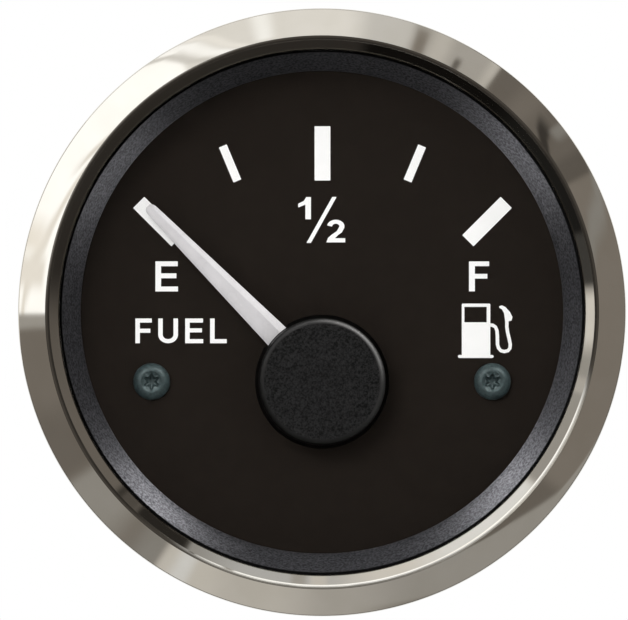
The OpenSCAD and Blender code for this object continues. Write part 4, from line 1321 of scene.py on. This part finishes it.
CARDS = (
    Card(0, 359.9, 0.07, WARM, 1, 1, LAND_BAND, 1),
    Card(40, 280, 0.03, WARM, 6, 6, LAND_HIGH, 1),
    Card(287, 387, 1.35, CLEAR, 6, 8, LAND_HIGH, 1),
    Card(287, 322, 0.46, SOFT, 6, 8, LAND_LOW, 1),
    Card(322, 387, 0.24, SOFT, 8, 8, LAND_LOW, 1),
    Card(95, 165, 0.26, SOFT, 8, 8, (10, 34), 2),
    Card(269, 332, 1.38, CLEAR, 1.2, 1.5),
    Card(283, 291, 1.0, SOFT, 3, 3, slant=-2.6),
    Card(299, 303.5, 0.96, SOFT, 1.5, 2, (46, 58.5), 2, -1.4),
    Card(275, 281, 1.02, SOFT, 2, 2, (56.5, 70), 2),
    Card(282, 288, 1.1, SOFT, 2, 3, (60, 70), 2),
    Card(331, 372, 0.93, SILVER, 1, 5),
    Card(331.2, 333.6, 0.8, SILVER, 0.8, 0.8, slant=-0.7),
    Card(334.5, 338.5, 1.25, CLEAR, 1.5, 1.5, slant=-0.7),
    Card(339.6, 342, 1.08, SILVER, 0.8, 1, slant=-0.7),
    Card(346.5, 350, 1.2, CLEAR, 1.5, 1.5, (55, 70), 2),
    Card(8, 19, 0.68, SILVER, 4, 2),
    Card(18.6, 36.3, 0.46, SOFT, 1, 0.5),
    Card(18.9, 21.3, 0.26, WARM, 0.4, 0.6, (40, 65), 5),
    Card(22, 26, 0.6, SOFT, 1.5, 1.5),
    Card(27.8, 29.1, 0.13, WARM, 0.35, 0.35, (40, 60), 1.5),
    Card(34.2, 36.1, 0.6, SOFT, 1, 0.4),
    Card(36.3, 62.6, 0.165, WARM, 0.5, 0.6),
    Card(42, 47, 0.2, WARM, 2, 2),
    Card(49.4, 52.9, 0.05, WARM, 0.8, 0.5, (40, 61.5), 2, -0.5),
    Card(51.4, 54, 0.26, SOFT, 0.5, 1.2, (61, 70), 1.2),
    Card(57.5, 62.6, 0.13, WARM, 1.5, 0.6),
    Card(62.6, 127, 0.228, WARM, 0.6, 3),
    Card(70, 76, 0.275, SOFT, 2, 3, slant=-0.8),
    Card(127, 147, 0.163, WARM, 1.5, 1),
    Card(137.5, 184, 0.35, SOFT, 1.3, 8, slant=-2.3),
    Card(168, 200, 0.44, SOFT, 8, 6),
    Card(184, 213.5, 0.56, SOFT, 6, 1.6),
    Card(201, 213.5, 0.64, SOFT, 4, 1.6),
    Card(206.8, 210.2, 0.76, CLEAR, 1, 1.6),
    Card(214, 269, 0.205, WARM, 1.6, 1.2),
    Card(213.8, 219, 0.28, SOFT, 0.4, 3),
    Card(266.8, 269.6, 0.4, SOFT, 0.8, 0.4),
    Card(223, 236, 0.33, SOFT, 4, 1.6),
    Card(237, 250, 0.17, WARM, 2, 4),
    *(Card(*row, band=WALL_BAND) for row in (
        (265, 374, 0.75, SOFT, 2.5, 6), (277.5, 309, 0.38, SOFT, 3, 1.5),
        (284, 287.4, 0.52, SOFT, 0.8, 0.5), (309.5, 336, 0.9, CLEAR, 1.5, 8),
        (354, 389.5, 0.54, CLEAR, 8, 1.2), (359, 362.5, 0.68, SOFT, 0.8, 0.8),
        (363.4, 366.6, 0.43, SOFT, 0.8, 0.8), (384, 389.5, 0.3, SOFT, 9, 1.2),
        (390, 450, 0.165, WARM, 1, 10), (438, 446, 0.105, WARM, 20, 10),
        (390, 403, 0.026, WARM, 1, 0.8), (403.4, 409.2, 0.095, WARM, 0.8, 1),
        (407.4, 408.8, 0.045, WARM, 0.5, 0.5), (188.8, 240, 0.006, WARM, 2, 14),
        (224, 253, 0.014, SOFT, 6, 1), (253, 264, 0.056, SOFT, 1, 1))),
)


@dataclass(frozen=True)
class SoftLamp:
    """A square lamp, for all or for some pieces. Angles in degrees, power in watts, lengths in metres."""

    name: str
    where: float
    off_axis: float
    power: float
    size: float
    distance: float
    pieces: tuple[str, ...] = ()


@dataclass
class Studio:
    """The camera, the lamps, the floor and the tent that the metal mirrors."""

    lens: float = 800
    eye: Triple = (-0.000816, -1.4311, 0.000229)
    tent_r: float = 0.24
    flag_deg: float = 12.0
    flag_soft: float = 6.0
    base_level: float = 0.2
    wall_level: float = 0.030
    wall_from: float = 68.0
    wall_soft: float = 5.0
    spokes: int = 720
    daylight: float = 0.82
    floor_half: float = 1500
    floor_y: float = -250
    floor_grey: float = 0.86
    lamp_tint: Triple = (1.0, 0.985, 0.96)
    lamps: tuple[SoftLamp, ...] = (
        SoftLamp("key", 318, 32, 1.1, 0.2, 0.5),
        SoftLamp("catchlight", 38, 68, 44.0, 0.5, 0.5, ("cap_edge",)),
        SoftLamp("screwlight", 38, 50, 1.55, 0.2, 0.5, ("dial_screw_left", "dial_screw_right")),
        SoftLamp("handlight", 45, 50, 0.45, 0.2, 0.5, ("pointer_blade",)),
        SoftLamp("upper_left", 314, 75, 5.0, 0.15, 0.5, ("reveal_cone",)),
        SoftLamp("upper_right", 41, 75, 5.6, 0.15, 0.5, ("reveal_cone",)),
        SoftLamp("lower_left", 232, 75, 1.15, 0.12, 0.32, ("reveal_cone",)),
        SoftLamp("lower_right", 123, 75, 1.15, 0.13, 0.32, ("reveal_cone",)))

    def build(self) -> None:
        """Sets up everything round the gauge."""
        self.camera()
        self.world()
        self.floor()
        self.tent()
        for lamp in self.lamps:
            self.hang(lamp)
        bpy.context.scene.view_settings.view_transform = "Standard"

    def direction(self, where: float, off_axis: float) -> Vector:
        """Gives the unit vector towards a clock angle and an angle off the axis."""
        a, b = math.radians(where), math.radians(off_axis)
        return Vector((math.sin(b) * math.sin(a), -math.cos(b), math.sin(b) * math.cos(a)))

    def camera(self) -> None:
        """Puts a long lens straight in front."""
        data = bpy.data.cameras.new("camera")
        data.lens, data.sensor_width = self.lens, 36
        data.clip_start, data.clip_end = 0.05, 20
        camera = bpy.data.objects.new("camera", data)
        camera.location = self.eye
        camera.rotation_euler = (math.pi / 2, 0, 0)
        bpy.context.scene.collection.objects.link(camera)
        bpy.context.scene.camera = camera

    def world(self) -> None:
        """Makes the background white for the camera, mirrors and glass, and a mid grey for light."""
        world = bpy.data.worlds.new("studio")
        world.use_nodes = True
        tree = world.node_tree
        path = add(tree, "LightPath").outputs
        seen = maths(tree, "MAXIMUM", maths(tree, "MAXIMUM", path["Is Camera Ray"], path["Is Glossy Ray"]),
                     path["Is Transmission Ray"])
        back = tree.nodes["Background"].inputs
        back["Color"].default_value = (1, 1, 1, 1)
        tree.links.new(maths(tree, "MULTIPLY_ADD", seen, 1 - self.daylight, self.daylight), back["Strength"])
        bpy.context.scene.world = world

    def floor(self) -> None:
        """Lays a pale floor below the gauge."""
        plan, half = MeshPlan(), self.floor_half
        plan.faces = [plan.row(place(x, self.floor_y, z) for x, z in rectangle(-half, half, half, -half))]
        piece = plan.piece("floor", outwards=False)
        mat, tree = new_material("floor_pale")
        bsdf = add(tree, "BsdfPrincipled", {"Base Color": (*[self.floor_grey] * 3, 1), "Roughness": 0.8})
        add(tree, "OutputMaterial", {"Surface": bsdf.outputs["BSDF"]})
        piece.data.materials.append(mat)
        piece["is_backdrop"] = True

    def hang(self, plan: SoftLamp) -> None:
        """Hangs a lamp that looks at the gauge.

        Args:
            plan: The lamp.
        """
        data = bpy.data.lights.new(plan.name, "AREA")
        data.energy, data.size, data.color = plan.power, plan.size, self.lamp_tint
        lamp = bpy.data.objects.new(plan.name, data)
        out = self.direction(plan.where, plan.off_axis)
        lamp.location = out * plan.distance
        lamp.rotation_mode = "QUATERNION"
        lamp.rotation_quaternion = out.to_track_quat("Z", "Y")
        bpy.context.scene.collection.objects.link(lamp)
        if plan.pieces:
            lit = bpy.data.collections.new(f"lit_by_{plan.name}")
            for name in plan.pieces:
                lit.objects.link(bpy.data.objects[name])
            lamp.light_linking.receiver_collection = lit

    def level(self, where: float, off_axis: float) -> Triple:
        """Gives the tent's brightness in a direction.

        Args:
            where: Clock angle.
            off_axis: Angle off the axis.

        Returns:
            The colour that shines there.
        """
        fade = min(max((off_axis - self.wall_from) / self.wall_soft, 0), 1)
        shade = self.base_level + (self.wall_level - self.base_level) * fade
        colour = [shade * t for t in WARM]
        for card in CARDS:
            share = card.mask(where, off_axis)
            if share:
                colour = [c + (t * card.level - c) * share for c, t in zip(colour, card.tint)]
        dark = min(max((self.flag_deg + self.flag_soft - off_axis) / self.flag_soft, 0), 1)
        return tuple(c * (1 - dark) for c in colour)

    def tent(self) -> None:
        """Builds the half tent of cards, which only mirrors see."""
        rings = [*range(0, 24, 4), *range(24, 48, 2), *(48 + i / 2 for i in range(52)), *range(74, 93)]
        turns = [360 * k / self.spokes for k in range(self.spokes)]
        plan = MeshPlan()
        plan.bridge([plan.row(self.direction(where, off_axis) * self.tent_r for where in turns)
                     for off_axis in rings])
        tent = plan.piece("tent", 180, outwards=False)
        layer = tent.data.color_attributes.new("level", "FLOAT_COLOR", "POINT")
        colours = (self.level(where, off_axis) for off_axis in rings for where in turns)
        for item, colour in zip(layer.data, colours):
            item.color = (*colour, 1)
        mat, tree = new_material("tent_cards")
        painted = add(tree, "VertexColor", layer_name="level").outputs["Color"]
        glow = add(tree, "Emission", {"Color": painted})
        add(tree, "OutputMaterial", {"Surface": glow.outputs["Emission"]})
        tent.data.materials.append(mat)
        tent.visible_camera = tent.visible_diffuse = tent.visible_transmission = False
        tent.visible_shadow = tent.visible_volume_scatter = False
        tent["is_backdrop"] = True


def corners(box: tuple[Vector, Vector]) -> list[list[float]]:
    """Turns a box into plain lists."""
    return [[float(v) for v in corner] for corner in box]


def main() -> None:
    """Builds the gauge and the studio."""
    logging.basicConfig(level=logging.INFO, format="%(name)s: %(message)s")
    shop = Workshop()
    for part in (Bezel(), Face(), Hand(), Movement(), Housing(), Lamp(), Clamp()):
        part.build(shop)
    Studio().build()
    {"cad": corners(CAD_BOX), "visual": corners(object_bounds())}


if __name__ == "__main__":
    main()
